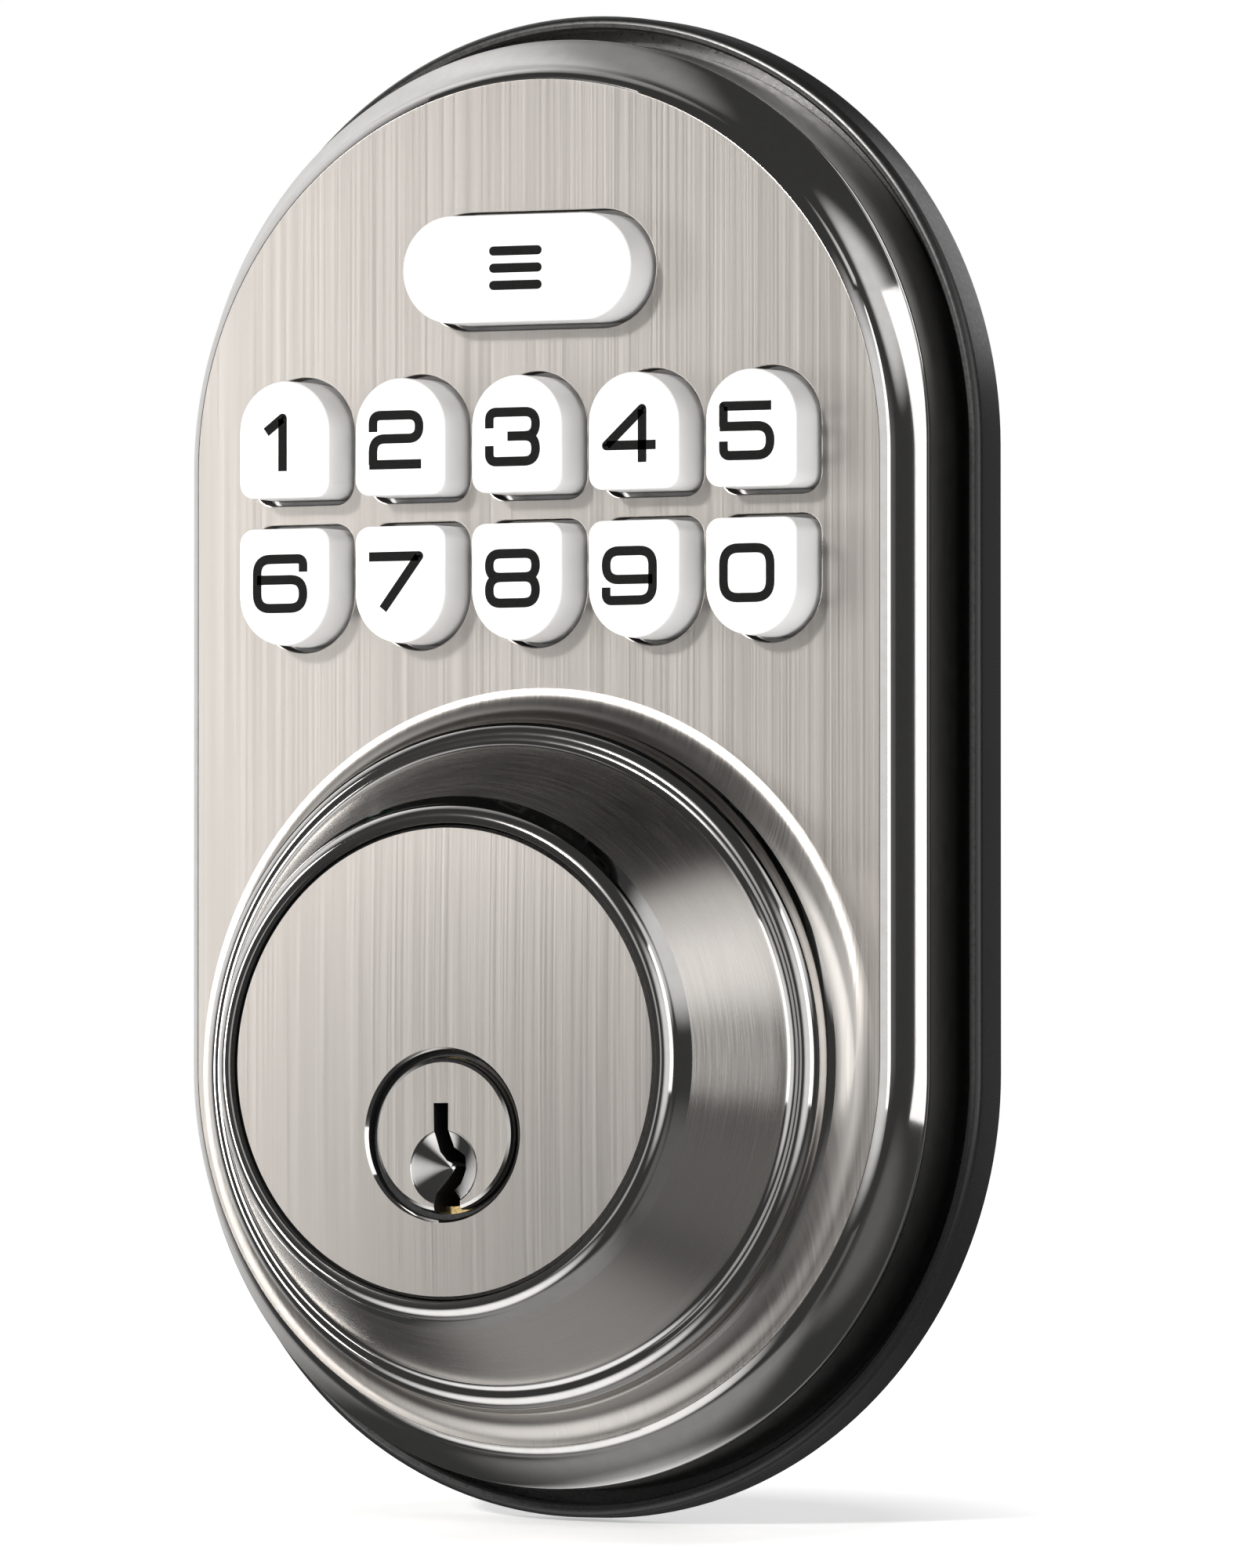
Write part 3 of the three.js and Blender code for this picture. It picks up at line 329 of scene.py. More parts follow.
def moulded_plastic(name, tone, rough):
    """Plastic or rubber with a fine grain and slightly cloudy colour."""
    s = Shader(name)
    texture = s.noise(2600, detail=3)
    cloud = s.noise(140, detail=2)
    s.set(Base_Color=s.mix(s.ramp(cloud, 0, 1), grey(tone), grey(tone * 0.94)))
    s.set(Roughness=s.ramp(texture, rough * 0.85, rough * 1.15))
    s.set(Normal=s.bump(texture, 0.25, 0.00001))
    return s.material


def metal(name, colour, rough):
    """Plain machined metal with faint marks, drawn out along Y."""
    s = Shader(name)
    marks = s.noise(2200, (1, 0.15, 1))
    dark = tuple(c * 0.8 for c in colour)
    s.set(Base_Color=s.mix(s.ramp(marks, 0, 1), colour + (1,), dark + (1,)))
    s.set(Roughness=s.ramp(marks, rough * 0.8, rough * 1.3), Metallic=1.0)
    s.set(Normal=s.bump(marks, 0.08, 0.00002))
    return s.material


face_nickel = brushed_nickel("face_nickel", (1, 0.02, 0.002), "Z", 0.0, (0.28, 0.35))
turned_nickel = brushed_nickel("turned_nickel", (0.02, 1, 0.02), "Y", 0.25, (0.22, 0.28), 0.64, 0.6)
bright_nickel = polished_nickel("bright_nickel")
# A darker, rougher copy of the bright nickel for the housing's side wall; its darker tone is painted
# shade.
painted_shade_nickel = polished_nickel("painted_shade_nickel", 0.45, 0.3)
white_key = moulded_plastic("white_key", 0.90, 0.36)
key_inputs = white_key.node_tree.nodes["Principled BSDF"].inputs
key_inputs["Subsurface Weight"].default_value = 0.08
key_inputs["Subsurface Radius"].default_value = (MM, MM, MM)
ink = moulded_plastic("ink", 0.003, 0.6)
ink.node_tree.nodes["Principled BSDF"].inputs["Specular IOR Level"].default_value = 0.1
rim_rubber = moulded_plastic("rim_rubber", 0.012, 0.3)
# Near black for the insides of gaps and recesses, the keyway and the hidden backs of parts: painted shade.
painted_shade_black = moulded_plastic("painted_shade_black", 0.004, 0.7)
zinc = metal("zinc", (0.60, 0.61, 0.63), 0.32)
brass = metal("brass", (0.72, 0.53, 0.25), 0.3)
spring_steel = metal("spring_steel", (0.5, 0.5, 0.5), 0.2)
# The membrane's silicone, near black; seen through the gaps round the keys, it also paints their shade.
silicone = moulded_plastic("silicone", 0.04, 0.6)
black_plastic = moulded_plastic("black_plastic", 0.02, 0.4)


def board_material():
    """Green solder mask with a grid of paler lines."""
    s = Shader("solder_mask")
    coords = s.add("TexCoord").outputs["Object"]
    mapping = s.add("Mapping", {"Vector": coords, "Scale": (420, 420, 420)})
    cells = s.add("TexBrick", {"Vector": mapping.outputs[0], "Mortar Size": 0.03, "Scale": 1.0})
    cloud = s.noise(300, detail=3)
    mask = s.mix(s.ramp(cloud, 0, 1), (0.012, 0.10, 0.045, 1), (0.02, 0.14, 0.06, 1))
    s.set(Base_Color=s.mix(cells.outputs["Fac"], mask, (0.03, 0.2, 0.09, 1)), Roughness=0.3)
    return s.material


solder_mask = board_material()

# ---- Housing: the ring and side wall ----
FACE_RADIUS = LIP_RADIUS - 2.5
FACE_STRAIGHT = LIP_STRAIGHT - 1.3
RING_DEPTH = 4.75
HOUSING_WALL = 2.4
# The ring's rows, from the face to the lip. Each is how much of the way the radius has gone from the
# face's to the lip's, the same for the straight sides, and the depth behind the face.
BEVEL = ((0.0, 0.0, 0.0), (0.16, 0.06, 0.22), (0.30, 0.12, 0.62))
STEP = ((0.31, 0.16, 0.85), (0.34, 0.24, 1.35))
BAND_END = (0.95, 0.96, 4.5)
LIP = ((0.985, 0.985, 4.6), (1.0, 1.0, 4.78), (1.0, 1.0, 5.0))
BAND_STEPS = 10
BAND_DISH = 0.04  # how far the broad band is dished, as a share of the ring's width
WALL_INSET = 0.05  # from the lip to the side wall
WALL_FRONT = 5.3  # depths behind the face of the side wall's first two rows
WALL_MIDDLE = 9.3


def ring_rows():
    rows = list(BEVEL) + list(STEP)
    out, lift, depth = STEP[-1]
    for i in range(1, BAND_STEPS + 1):
        t = i / BAND_STEPS
        rows.append((out + (BAND_END[0] - out) * t ** 1.25 - BAND_DISH * math.sin(math.pi * t),
                     lift + (BAND_END[1] - lift) * t ** 1.1,
                     depth + (BAND_END[2] - depth) * t))
    return rows + list(LIP)


def housing_ring():
    rings = []
    for out, lift, depth in ring_rows():
        radius = FACE_RADIUS + (LIP_RADIUS - FACE_RADIUS) * out
        straight = FACE_STRAIGHT + (LIP_STRAIGHT - FACE_STRAIGHT) * lift
        rings.append((obround(radius, straight), FACE_Y + depth))
    bands = [0] * len(rings)
    wall = obround(LIP_RADIUS - WALL_INSET, LIP_STRAIGHT)
    rings += [(wall, FACE_Y + WALL_FRONT), (wall, FACE_Y + WALL_MIDDLE), (wall, HOUSING_BACK)]
    bands += [1, 1, 2]
    inner = obround(LIP_RADIUS - HOUSING_WALL, LIP_STRAIGHT)
    front = obround(FACE_RADIUS - HOUSING_WALL, FACE_STRAIGHT)
    rings += [(inner, HOUSING_BACK), (inner, FACE_Y + RING_DEPTH + 2), (front, FACE_Y + RING_DEPTH)]
    rings += [(front, FACE_Y + 0.3), (obround(FACE_RADIUS, FACE_STRAIGHT), FACE_Y)]
    bands += [2, 2, 2, 2]
    # Slot 1 darkens the side wall and slot 2 blackens the housing's back and insides: both are painted
    # shade.
    materials = [bright_nickel, painted_shade_nickel, painted_shade_black]
    ring = loft("housing_ring", rings, materials, bands=bands, caps=(False, False))
    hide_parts("front_housing")


def key_sizes(node):
    """The centre, width and height of a key's cap, without its flange."""
    low, high = box_mm(node)
    centre = (low + high) / 2
    return centre.x, centre.z, high.x - low.x - 2 * KEY_FLANGE, high.z - low.z - 2 * KEY_FLANGE


def outline_of(node, offset=0.0):
    x, z, width, height = key_sizes(node)
    if node == "function_button":
        return lying_obround(x, z, width, height, offset)
    return key_outline(x, z, width, height, int(node[-1]) in DIGIT_ROWS[1], offset)


KEY_NODES = ["function_button"] + [f"key_{d}" for row in DIGIT_ROWS for d in row]
FACE_BORE = 28  # the face's hole under the boss
FACE_OVERLAP = 0.02  # how far the face reaches past the ring's inner edge
FACE_BEVEL = 0.12


def face_plate():
    """The flat face with its holes, left out of reflections so that the boss reflects the dark studio."""
    outlines = [obround(FACE_RADIUS + FACE_OVERLAP, FACE_STRAIGHT)]
    outlines += [outline_of(node, KEY_GAP) for node in KEY_NODES]
    outlines.append(circle(0, BOSS_Z, FACE_BORE, 96))
    back = FACE_Y + FACE_WALL
    plate = pierced_plate("housing_face", outlines, FACE_Y, back, FACE_BEVEL, [face_nickel])
    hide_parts("front_housing")
    plate.visible_glossy = False


# ---- Boss ----
# Corners of the profile are (radius, height above the face).
BOSS_FOOT = 34.7
FILLET_TOP = (31.3, 4.1)
FILLET_STEPS = 16
FILLET_SATIN = 12  # how many of the fillet's rows are satin, before it turns bright
BEAD_WIDTH = 1.35
BEAD_HEIGHT = 1.4
BEAD_FOOT = 0.5  # how far up the bead starts from the fillet
BEAD_STEPS = 12
GROOVE = ((29.6, 5.98), (29.25, 6.15), (29.0, 6.45))
CONE_FOOT = (28.9, 6.7)
CONE_TOP = (23.5, 17.2)
CONE_STEPS = 8
BOSS_RIM = 1.3  # width of the rounded rim at the cone's top
RIM_SHRINK = 0.05
RIM_STEPS = 10
DISC_SEAT = 2.4  # depth of the disc's seat below the rim
SEAT_RADIUS = 21.64
SEAT_BORE = 17
SEAT_THICKNESS = 3
SATIN, BRIGHT, TURNED, PAINTED_SHADE = range(4)


def boss_profile():
    """(radius, height above the face, finish) rows, from the fillet's foot up, in and back underneath."""
    rows = []
    for i in range(FILLET_STEPS + 1):
        a = i / FILLET_STEPS * math.pi / 2
        radius = BOSS_FOOT - (BOSS_FOOT - FILLET_TOP[0]) * math.sin(a)
        height = FILLET_TOP[1] * (1 - math.cos(a)) - 0.01
        rows.append((radius, height, SATIN if i < FILLET_SATIN else BRIGHT))
    for i in range(1, BEAD_STEPS + 1):
        a = i / BEAD_STEPS * math.pi / 2
        radius = FILLET_TOP[0] - BEAD_WIDTH * (1 - math.cos(a))
        rows.append((radius, FILLET_TOP[1] + BEAD_FOOT + BEAD_HEIGHT * math.sin(a), BRIGHT))
    rows += [(radius, height, BRIGHT) for radius, height in GROOVE]
    rows.append(CONE_FOOT + (TURNED,))
    for i in range(1, CONE_STEPS + 1):
        t = i / CONE_STEPS
        radius = CONE_FOOT[0] + (CONE_TOP[0] - CONE_FOOT[0]) * t
        height = CONE_FOOT[1] + (CONE_TOP[1] - CONE_FOOT[1]) * t
        rows.append((radius, height, TURNED if i < CONE_STEPS else BRIGHT))
    for i in range(1, RIM_STEPS + 1):
        a = i / RIM_STEPS * math.pi / 2
        radius = CONE_TOP[0] - RIM_SHRINK - BOSS_RIM * (1 - math.cos(a))
        rows.append((radius, CONE_TOP[1] + (BOSS_HEIGHT - CONE_TOP[1]) * math.sin(a), BRIGHT))
    seat = BOSS_HEIGHT - DISC_SEAT
    under = seat - SEAT_THICKNESS
    rows.append((SEAT_RADIUS + 0.16, BOSS_HEIGHT - 0.06, BRIGHT))
    # The seat's wall under the rim, the seat and the boss's underside are black: painted shade.
    rows.append((SEAT_RADIUS + 0.02, BOSS_HEIGHT - 0.3, PAINTED_SHADE))
    rows += [(SEAT_RADIUS, seat, PAINTED_SHADE), (SEAT_BORE, seat, PAINTED_SHADE), (SEAT_BORE, under, PAINTED_SHADE)]
    rows += [(22.8, under, PAINTED_SHADE), (27.8, -FACE_WALL, PAINTED_SHADE), (30, -FACE_WALL, PAINTED_SHADE)]
    rows.append((BOSS_FOOT - 0.2, -0.4, SATIN))
    return rows


def boss():
    rows = boss_profile()
    profile = [(radius, FACE_Y - height) for radius, height, _ in rows]
    profile.append(profile[0])
    bands = [finish for _, _, finish in rows[1:]] + [SATIN]
    materials = [face_nickel, bright_nickel, turned_nickel, painted_shade_black]
    piece = lathe("housing_boss", profile, 0, BOSS_Z, materials, bands=bands, steps=192)
    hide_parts("front_housing")


# ---- Cylinder disc and plug ----
DISC_ROWS = 10
DISC_CROWN = 0.4
DISC_THICKNESS = 2.2
DISC_EDGE = 0.28  # bevel round the disc
DISC_HOLE = 7.7
HOLE_EDGE = (0.25, 0.3)  # bevel round the hole: its width and its depth
CROWN_DEPTH = 0.5  # how far behind the front the crown's bend is applied


def blend(first, second, share):
    """An outline part of the way from one to another."""
    return [(a + (c - a) * share, b + (d - b) * share) for (a, b), (c, d) in zip(first, second)]


def cylinder_disc():
    """A ring with a very slightly crowned front, round the plug's off-centre hole."""
    steps = 160
    hole = circle(0, PLUG_Z, DISC_HOLE, steps)
    hole_lip = circle(0, PLUG_Z, DISC_HOLE + HOLE_EDGE[0], steps)
    edge = circle(0, BOSS_Z, DISC_RADIUS, steps)
    edge_lip = circle(0, BOSS_Z, DISC_RADIUS - DISC_EDGE, steps)
    front, back = BOSS_FRONT, BOSS_FRONT + DISC_THICKNESS
    rings = [(hole, back), (hole, front + HOLE_EDGE[1])]
    for i in range(DISC_ROWS + 1):
        rings.append((blend(hole_lip, edge_lip, i / DISC_ROWS), front))
    rings += [(edge, front + DISC_EDGE), (edge, back), (hole, back)]
    # Slot 2 blackens the hole's wall, the disc's outer side and its back: painted shade.
    bands = [2, 1] + [0] * DISC_ROWS + [1, 2, 2]
    materials = [face_nickel, bright_nickel, painted_shade_black]
    disc = loft("face_disc", rings, materials, bands=bands, caps=(False, False))
    for vertex in disc.data.vertices:
        reach = math.hypot(vertex.co.x, vertex.co.z - BOSS_Z * MM) / (DISC_RADIUS * MM)
        if vertex.co.y < (front + CROWN_DEPTH) * MM:
            vertex.co.y += DISC_CROWN * reach ** 2 * MM
    disc.data.polygons.foreach_set("use_smooth", [True] * len(disc.data.polygons))
    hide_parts("cylinder_face_disc")


def boolean_cut(piece, cutters):
    """Cuts the cutters out of the piece's mesh and removes them."""
    for cutter in cutters:
        modifier = piece.modifiers.new("cut", "BOOLEAN")
        modifier.object = cutter
        modifier.solver = "EXACT"
        evaluated = piece.evaluated_get(bpy.context.evaluated_depsgraph_get())
        mesh = bpy.data.meshes.new_from_object(evaluated)
        piece.modifiers.clear()
        piece.data = mesh
    for cutter in cutters:
        bpy.data.objects.remove(cutter)


# (x, z) corners of the keyway, from the plug's axis.
KEYWAY = ((-0.95, 2.9), (-0.9, 0.2), (-0.7, -1.5), (-0.2, -2.3), (0.7, -2.8), (-0.15, -4.2), (-0.9, -5.3),
          (-0.95, -8.0), (1.8, -8.0), (1.75, -5.8), (0.9, -5.0), (1.5, -4.4), (2.0, -3.1), (1.95, -1.9),
          (0.8, -1.1), (0.55, 0.2), (0.55, 2.9))


def plain_loft(name, rings, material):
    """A closed cutter, linked to the scene but riding on nothing until it is removed."""
    count = len(rings[0][0])
    points = [Vector((x, y, z)) * MM for outline, y in rings for x, z in outline]
    faces = [tuple(range(count - 1, -1, -1)), tuple(range(len(points) - count, len(points)))]
    for ring in range(len(rings) - 1):
        for i in range(count):
            a, b = ring * count + i, ring * count + (i + 1) % count
            faces.append((a, b, b + count, a + count))
    mesh = bpy.data.meshes.new(name)
    mesh.from_pydata(points, [], faces)
    mesh.materials.append(material)
    bm = bmesh.new()
    bm.from_mesh(mesh)
    bmesh.ops.recalc_face_normals(bm, faces=bm.faces)
    bm.to_mesh(mesh)
    bm.free()
    cutter = bpy.data.objects.new(name, mesh)
    bpy.context.scene.collection.objects.link(cutter)
    return cutter


PLUG_FLANGE = 1.9  # depth of the wider front end
PLUG_RADIUS = 6.35
PLUG_TAIL = (4.8, 3.6)  # radius and length of the narrow rear end
DIMPLE = (0.1, -2.95)  # its (x, z) centre, from the plug's axis
DIMPLE_ROWS = ((3.55, -0.2), (3.42, 0.04), (3.2, 0.2), (0.02, 1.5))  # radius, depth behind the front


def plug():
    front, back = plug_low.y, plug_high.y
    radius = plug_high.x
    profile = [(0.0, front), (radius - 0.4, front), (radius - 0.12, front + 0.14), (radius, front + 0.45)]
    profile += [(radius, front + PLUG_FLANGE), (PLUG_RADIUS, front + PLUG_FLANGE)]
    profile += [(PLUG_RADIUS, back - PLUG_TAIL[1]), (PLUG_TAIL[0], back - PLUG_TAIL[1])]
    profile += [(PLUG_TAIL[0], back), (0.0, back)]
    bands = [0, 1, 1, 2, 2, 2, 2, 2, 2]
    materials = [face_nickel, bright_nickel, turned_nickel, painted_shade_black]
    body = BODY_OF["cylinder_plug"]
    piece = lathe("plug_body", profile, 0, PLUG_Z, materials, body, bands)
    x, z = DIMPLE
    rings = [(circle(x, PLUG_Z + z, wide), front + deep) for wide, deep in DIMPLE_ROWS]
    dimple = plain_loft("dimple", rings, bright_nickel)
    keyway = [(x, PLUG_Z + z) for x, z in KEYWAY]
    # The keyway's cutter carries the near black of painted shade.
    slot = plain_loft("keyway", [(keyway, front - 1), (keyway, back - 5)], painted_shade_black)
    boolean_cut(piece, [dimple, slot])
    sharpen(piece.data, 28)
    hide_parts("cylinder_plug")


def plug_recess():
    """A black ring that paints the shade in the gap between the plug's edge and the disc's hole."""
    front, back = BOSS_FRONT + 1.2, BOSS_FRONT + 4.2
    inner, outer = plug_high.x + 0.15, DISC_HOLE - 0.04
    profile = [(inner, front), (outer, front), (outer, back), (inner, back), (inner, front)]
    lathe("shell_nose", profile, 0, PLUG_Z, [painted_shade_black])


# ---- Keys ----
CORNER_STEPS = 8


def rounded_path(points, radius, closed=False):
    """A polyline with its corners rounded by short curves."""
    path = []
    count = len(points)
    for i, corner in enumerate(points):
        if not closed and i in (0, count - 1):
            path.append(Vector(corner))
            continue
        here = Vector(corner)
        before, after = Vector(points[i - 1]) - here, Vector(points[(i + 1) % count]) - here
        reach = min(radius, before.length * 0.5, after.length * 0.5)
        a, b = here + before.normalized() * reach, here + after.normalized() * reach
        for k in range(CORNER_STEPS + 1):
            t = k / CORNER_STEPS
            path.append(a * (1 - t) ** 2 + here * 2 * t * (1 - t) + b * t * t)
    return path


STROKE = 0.86
DIGIT_LEFT = 0.3
DIGIT_RISE = 0.3  # up in the lower row, down in the upper one
W = 2.38  # half the width of a digit, to the middle of its strokes
H = 2.25  # half its height
# Each digit's strokes: points, corner radius and whether the stroke closes on itself.
DIGITS = {
    0: [([(-W, -H), (W, -H), (W, H), (-W, H)], 1.5, True)],
    1: [([(-1.45, 1.0), (0.25, H), (0.25, -H - 0.35)], 0.05, False)],
    2: [([(-W, 0.75), (-W, H), (W, H), (W, 0.1), (-W, 0.1), (-W, -H)], 1.35, False),
        ([(-W - 0.37, -H), (W + 0.2, -H)], 0, False)],
    3: [([(-W, 0.8), (-W, H), (W, H), (W, 0.05), (-0.5, 0.05)], 1.2, False),
        ([(-0.5, 0.05), (W, 0.05), (W, -H), (-W, -H), (-W, -0.8)], 1.2, False)],
    4: [([(1.3, -H - 0.37), (1.3, H), (-W, -1.05), (W + 0.3, -1.05)], 0.05, False)],
    5: [([(W + 0.1, H), (-W, H), (-W, 0.4)], 0.05, False),
        ([(-W - 0.37, 0.4), (W, 0.4), (W, -H), (-W, -H), (-W, -0.95)], 1.35, False)],
    6: [([(W, 1.05), (W, H), (-W, H), (-W, -H), (W, -H), (W, 0.35), (-W, 0.35)], 1.35, False)],
    7: [([(-W - 0.4, H), (W, H), (-1.35, -H - 0.3)], 0.05, False)],
    8: [([(-W, 0.1), (W, 0.1), (W, H), (-W, H)], 1.2, True),
        ([(-W, -H), (W, -H), (W, 0.1), (-W, 0.1)], 1.2, True)],
    9: [([(-W, -1.05), (-W, -H), (W, -H), (W, H), (-W, H), (-W, -0.35), (W, -0.35)], 1.35, False)],
}


def ribbon(path, width, closed):
    """Left and right edges of a stroke of the given width along a path."""
    left, right = [], []
    count = len(path)
    for i, point in enumerate(path):
        before = path[i - 1] if (closed or i > 0) else None
        after = path[(i + 1) % count] if (closed or i + 1 < count) else None
        one = (point - before).normalized() if before is not None else None
        two = (after - point).normalized() if after is not None else None
        one, two = one or two, two or one
        along = (one + two).normalized()
        normal = Vector((-along.y, along.x))
        reach = width / 2 / max(0.35, normal.dot(Vector((-one.y, one.x))))
        left.append(point + normal * reach)
        right.append(point - normal * reach)
    return left, right


REPEAT = 1e-3  # points of a path closer than this are one point
STROKE_RISE = 0.006  # how far each further stroke of a digit stands above the last


def printed_digit(digit, x, z, front, body):
    """A digit whose strokes are thin ribbons of ink, just proud of the key's front."""
    points, faces = [], []
    for order, (corners, radius, closed) in enumerate(DIGITS[digit]):
        path = []
        for p in rounded_path(corners, radius, closed):
            if not path or (p - path[-1]).length > REPEAT:
                path.append(p)
        if closed and (path[0] - path[-1]).length < REPEAT:
            path.pop()
        left, right = ribbon(path, STROKE, closed)
        count, start = len(path), len(points)
        lift = INK + order * STROKE_RISE
        for y in (front - lift, front + INK_FOOT):
            points += [(x + p.x, y, z + p.y) for p in left + right]
        for i in range(count if closed else count - 1):
            j = (i + 1) % count
            l0, l1 = start + i, start + j
            r0, r1 = l0 + count, l1 + count
            back = 2 * count
            faces += [(l0, l1, r1, r0), (l0 + back, r0 + back, r1 + back, l1 + back)]
            faces += [(l0, l0 + back, l1 + back, l1), (r0, r1, r1 + back, r0 + back)]
        if not closed:
            for i in (0, count - 1):
                a, b = start + i, start + count + i
                faces.append((a, b, b + 2 * count, a + 2 * count))
    make(f"digit_{digit}", points, faces, [ink], body, degrees=30)


EDGE_STEPS = 8
BAR_PITCH = 1.57
BAR_LENGTH = 5.4
BAR_HEIGHT = 0.85


def key_cap(node):
    """A key's cap and its printing. The cap is left out of reflections, as the face is."""
    body = BODY_OF[node]
    low, high = box_mm(node)
    rings = []
    for i in range(EDGE_STEPS + 1):
        a = i / EDGE_STEPS * math.pi / 2
        inset = KEY_EDGE * (1 - math.sin(a))
        rings.append((outline_of(node, -inset), low.y + KEY_EDGE * 0.75 * (1 - math.cos(a))))
    flange = high.y - KEY_FLANGE
    rings += [(outline_of(node, 0.05), flange), (outline_of(node, KEY_FLANGE), flange)]
    rings += [(outline_of(node, KEY_FLANGE), high.y)]
    cap = loft(f"{node}_cap", rings, [white_key], body, degrees=40)
    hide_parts(node)
    cap.visible_glossy = False
    x, z, _, _ = key_sizes(node)
    if node == "function_button":
        for i in (-1, 0, 1):
            bar = lying_obround(x, z + i * BAR_PITCH, BAR_LENGTH, BAR_HEIGHT, 0, 8)
            rings = [(bar, low.y - INK), (bar, low.y + INK_FOOT)]
            loft(f"button_bar_{i + 2}", rings, [ink], body)
    else:
        digit = int(node[-1])
        rise = DIGIT_RISE if digit in DIGIT_ROWS[1] else -DIGIT_RISE
        printed_digit(digit, x - DIGIT_LEFT, z + rise, low.y, body)


# ---- Gasket and back ----
SHEET_FRONT = -1.5
SHEET_BEVEL = 0.15
RIM_ROUND = 0.7  # radius of the rim's outer edge
RIM_ROUND_STEPS = 6
RIM_WALL = 1.25
RIM_REACH = 4  # how far the rim piece reaches in
SHEET_INSET = 3.9  # the sheet's edge lies just inside the rim piece
SHELL_HOLE = 8.4
POST_HOLE = 3.4
GROMMET_HOLE = 4.4


def middle_of(node):
    low, high = box_mm(node)
    return (low + high) / 2


def gasket():
    """The gasket's raised rim, and its flat sheet with holes for the shell, the posts and the grommet."""
    back = gasket_high.y
    rows = [(0, back - 0.2)]
    for i in range(RIM_ROUND_STEPS + 1):
        a = i / RIM_ROUND_STEPS * math.pi / 2
        rows.append((RIM_ROUND * (1 - math.cos(a)), RIM_FRONT + RIM_ROUND * (1 - math.sin(a))))
    rows += [(RIM_WALL - 0.2, RIM_FRONT), (RIM_WALL, RIM_FRONT + 0.2), (RIM_WALL, SHEET_FRONT)]
    rows += [(RIM_REACH, SHEET_FRONT), (RIM_REACH, back - 0.05), (0.25, back), rows[0]]
    rings = [(obround(RIM_RADIUS - inset, RIM_STRAIGHT), y) for inset, y in rows]
    rim = loft("gasket_rim", rings, [rim_rubber], caps=(False, False))
    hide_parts("weather_gasket")
    post = middle_of("mounting_post_right")
    outlines = [obround(RIM_RADIUS - SHEET_INSET, RIM_STRAIGHT), circle(0, PLUG_Z, SHELL_HOLE)]
    outlines += [circle(x, post.z, POST_HOLE, 32) for x in (post.x, -post.x)]
    outlines.append(circle(0, middle_of("cable_grommet").z, GROMMET_HOLE, 48))
    sheet = pierced_plate("gasket_sheet", outlines, SHEET_FRONT, 0, SHEET_BEVEL, [rim_rubber])
    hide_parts("weather_gasket")


# ---- Pieces with meshes of their own ----
DOME_TOP_RADIUS = 2.2
DOME_BASE_RADIUS = 3.04
DOME_HEIGHT = 1.6
DOME_FOOT = 0.05  # how far in front of the sheet the separate domes end
SHEET_TRIM = 0.02  # how far in front of the sheet the CAD's own domes are cut off
PINS = 5


def copy_of(node, name, material):
    """A second mesh of a CAD node that stands for it, with the node hidden."""
    source = frame["nodes"][node]
    mesh = source.data.copy()
    mesh.transform(source.matrix_world)
    mesh.materials.clear()
    mesh.materials.append(material)
    piece = adopt(bpy.data.objects.new(name, mesh), BODY_OF[node])
    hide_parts(node)
    return piece


def pin_springs():
    """The pin springs as copies, each with a mesh of its own."""
    for i in range(1, PINS + 1):
        node, joint = f"pin_spring_{i}", f"driver_pin_{i}_lift"
        spring = copy_of(node, f"{node}_coil", spring_steel)
        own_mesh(spring)


def membrane():
    """A sheet with a separate dome under each key, each dome with a mesh of its own."""
    low, _ = box_mm("keypad_membrane")
    front = low.y + DOME_HEIGHT
    sheet = copy_of("keypad_membrane", "membrane_sheet", silicone)
    bm = bmesh.new()
    bm.from_mesh(sheet.data)
    everything = bm.verts[:] + bm.edges[:] + bm.faces[:]
    plane = Vector((0, front - SHEET_TRIM, 0)) * MM
    bmesh.ops.bisect_plane(bm, geom=everything, plane_co=plane, plane_no=(0, 1, 0), clear_inner=True)
    bmesh.ops.holes_fill(bm, edges=bm.edges, sides=0)
    bm.to_mesh(sheet.data)
    bm.free()
    foot = front - DOME_FOOT
    profile = [(0.0, low.y), (DOME_TOP_RADIUS, low.y), (DOME_BASE_RADIUS, foot), (0.0, foot)]
    for node in KEY_NODES:
        x, z, width, _ = key_sizes(node)
        offsets = (-width / 4, width / 4) if node == "function_button" else (0,)
        for i, offset in enumerate(offsets):
            name = f"dome_{node}_{i + 1}"
            dome = lathe(name, profile, x + offset, z, [silicone], steps=32)
            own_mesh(dome)


# ---- CAD nodes that keep their shape ----
def dress(node, material):
    """Gives a CAD node's mesh a material, and leaves its shape alone."""
    piece = frame["nodes"][node]
    for slot in piece.material_slots:
        slot.material = material
    if not piece.material_slots:
        piece.data.materials.append(material)


def numbered(name, count):
    return [f"{name}_{i}" for i in range(1, count + 1)]


def both_sides(name):
    return [f"{name}_left", f"{name}_right"]


PLAIN = {
    zinc: ["mounting_plate", "tailpiece"] + both_sides("mounting_post") + both_sides("cylinder_screw")
          + numbered("board_screw", 4) + numbered("plate_screw", 5),
    brass: ["cylinder_shell", "chamber_cap", "plug_retainer"] + numbered("key_pin", PINS),
    spring_steel: numbered("driver_pin", PINS),
    solder_mask: ["keypad_board"],
    black_plastic: ["controller_chip", "sounder", "cable_socket"],
    rim_rubber: ["cable_grommet"],
}


# ---- Camera, stage and lights ----
AZIMUTH = math.radians(27.5)
ELEVATION = math.radians(-2.2)
DISTANCE = 2.5  # in metres
FRAME_HEIGHT = 142.86 * MM  # height of the view at the target
AIM_RIGHT = 8.22 * MM
AIM_DOWN = 2.0 * MM
SENSOR = 36.0


def heading(azimuth, elevation):
    """The unit vector at an azimuth from straight ahead towards +X and an elevation, in radians."""
    level = math.cos(elevation)
    return Vector((math.sin(azimuth) * level, -math.cos(azimuth) * level, math.sin(elevation)))


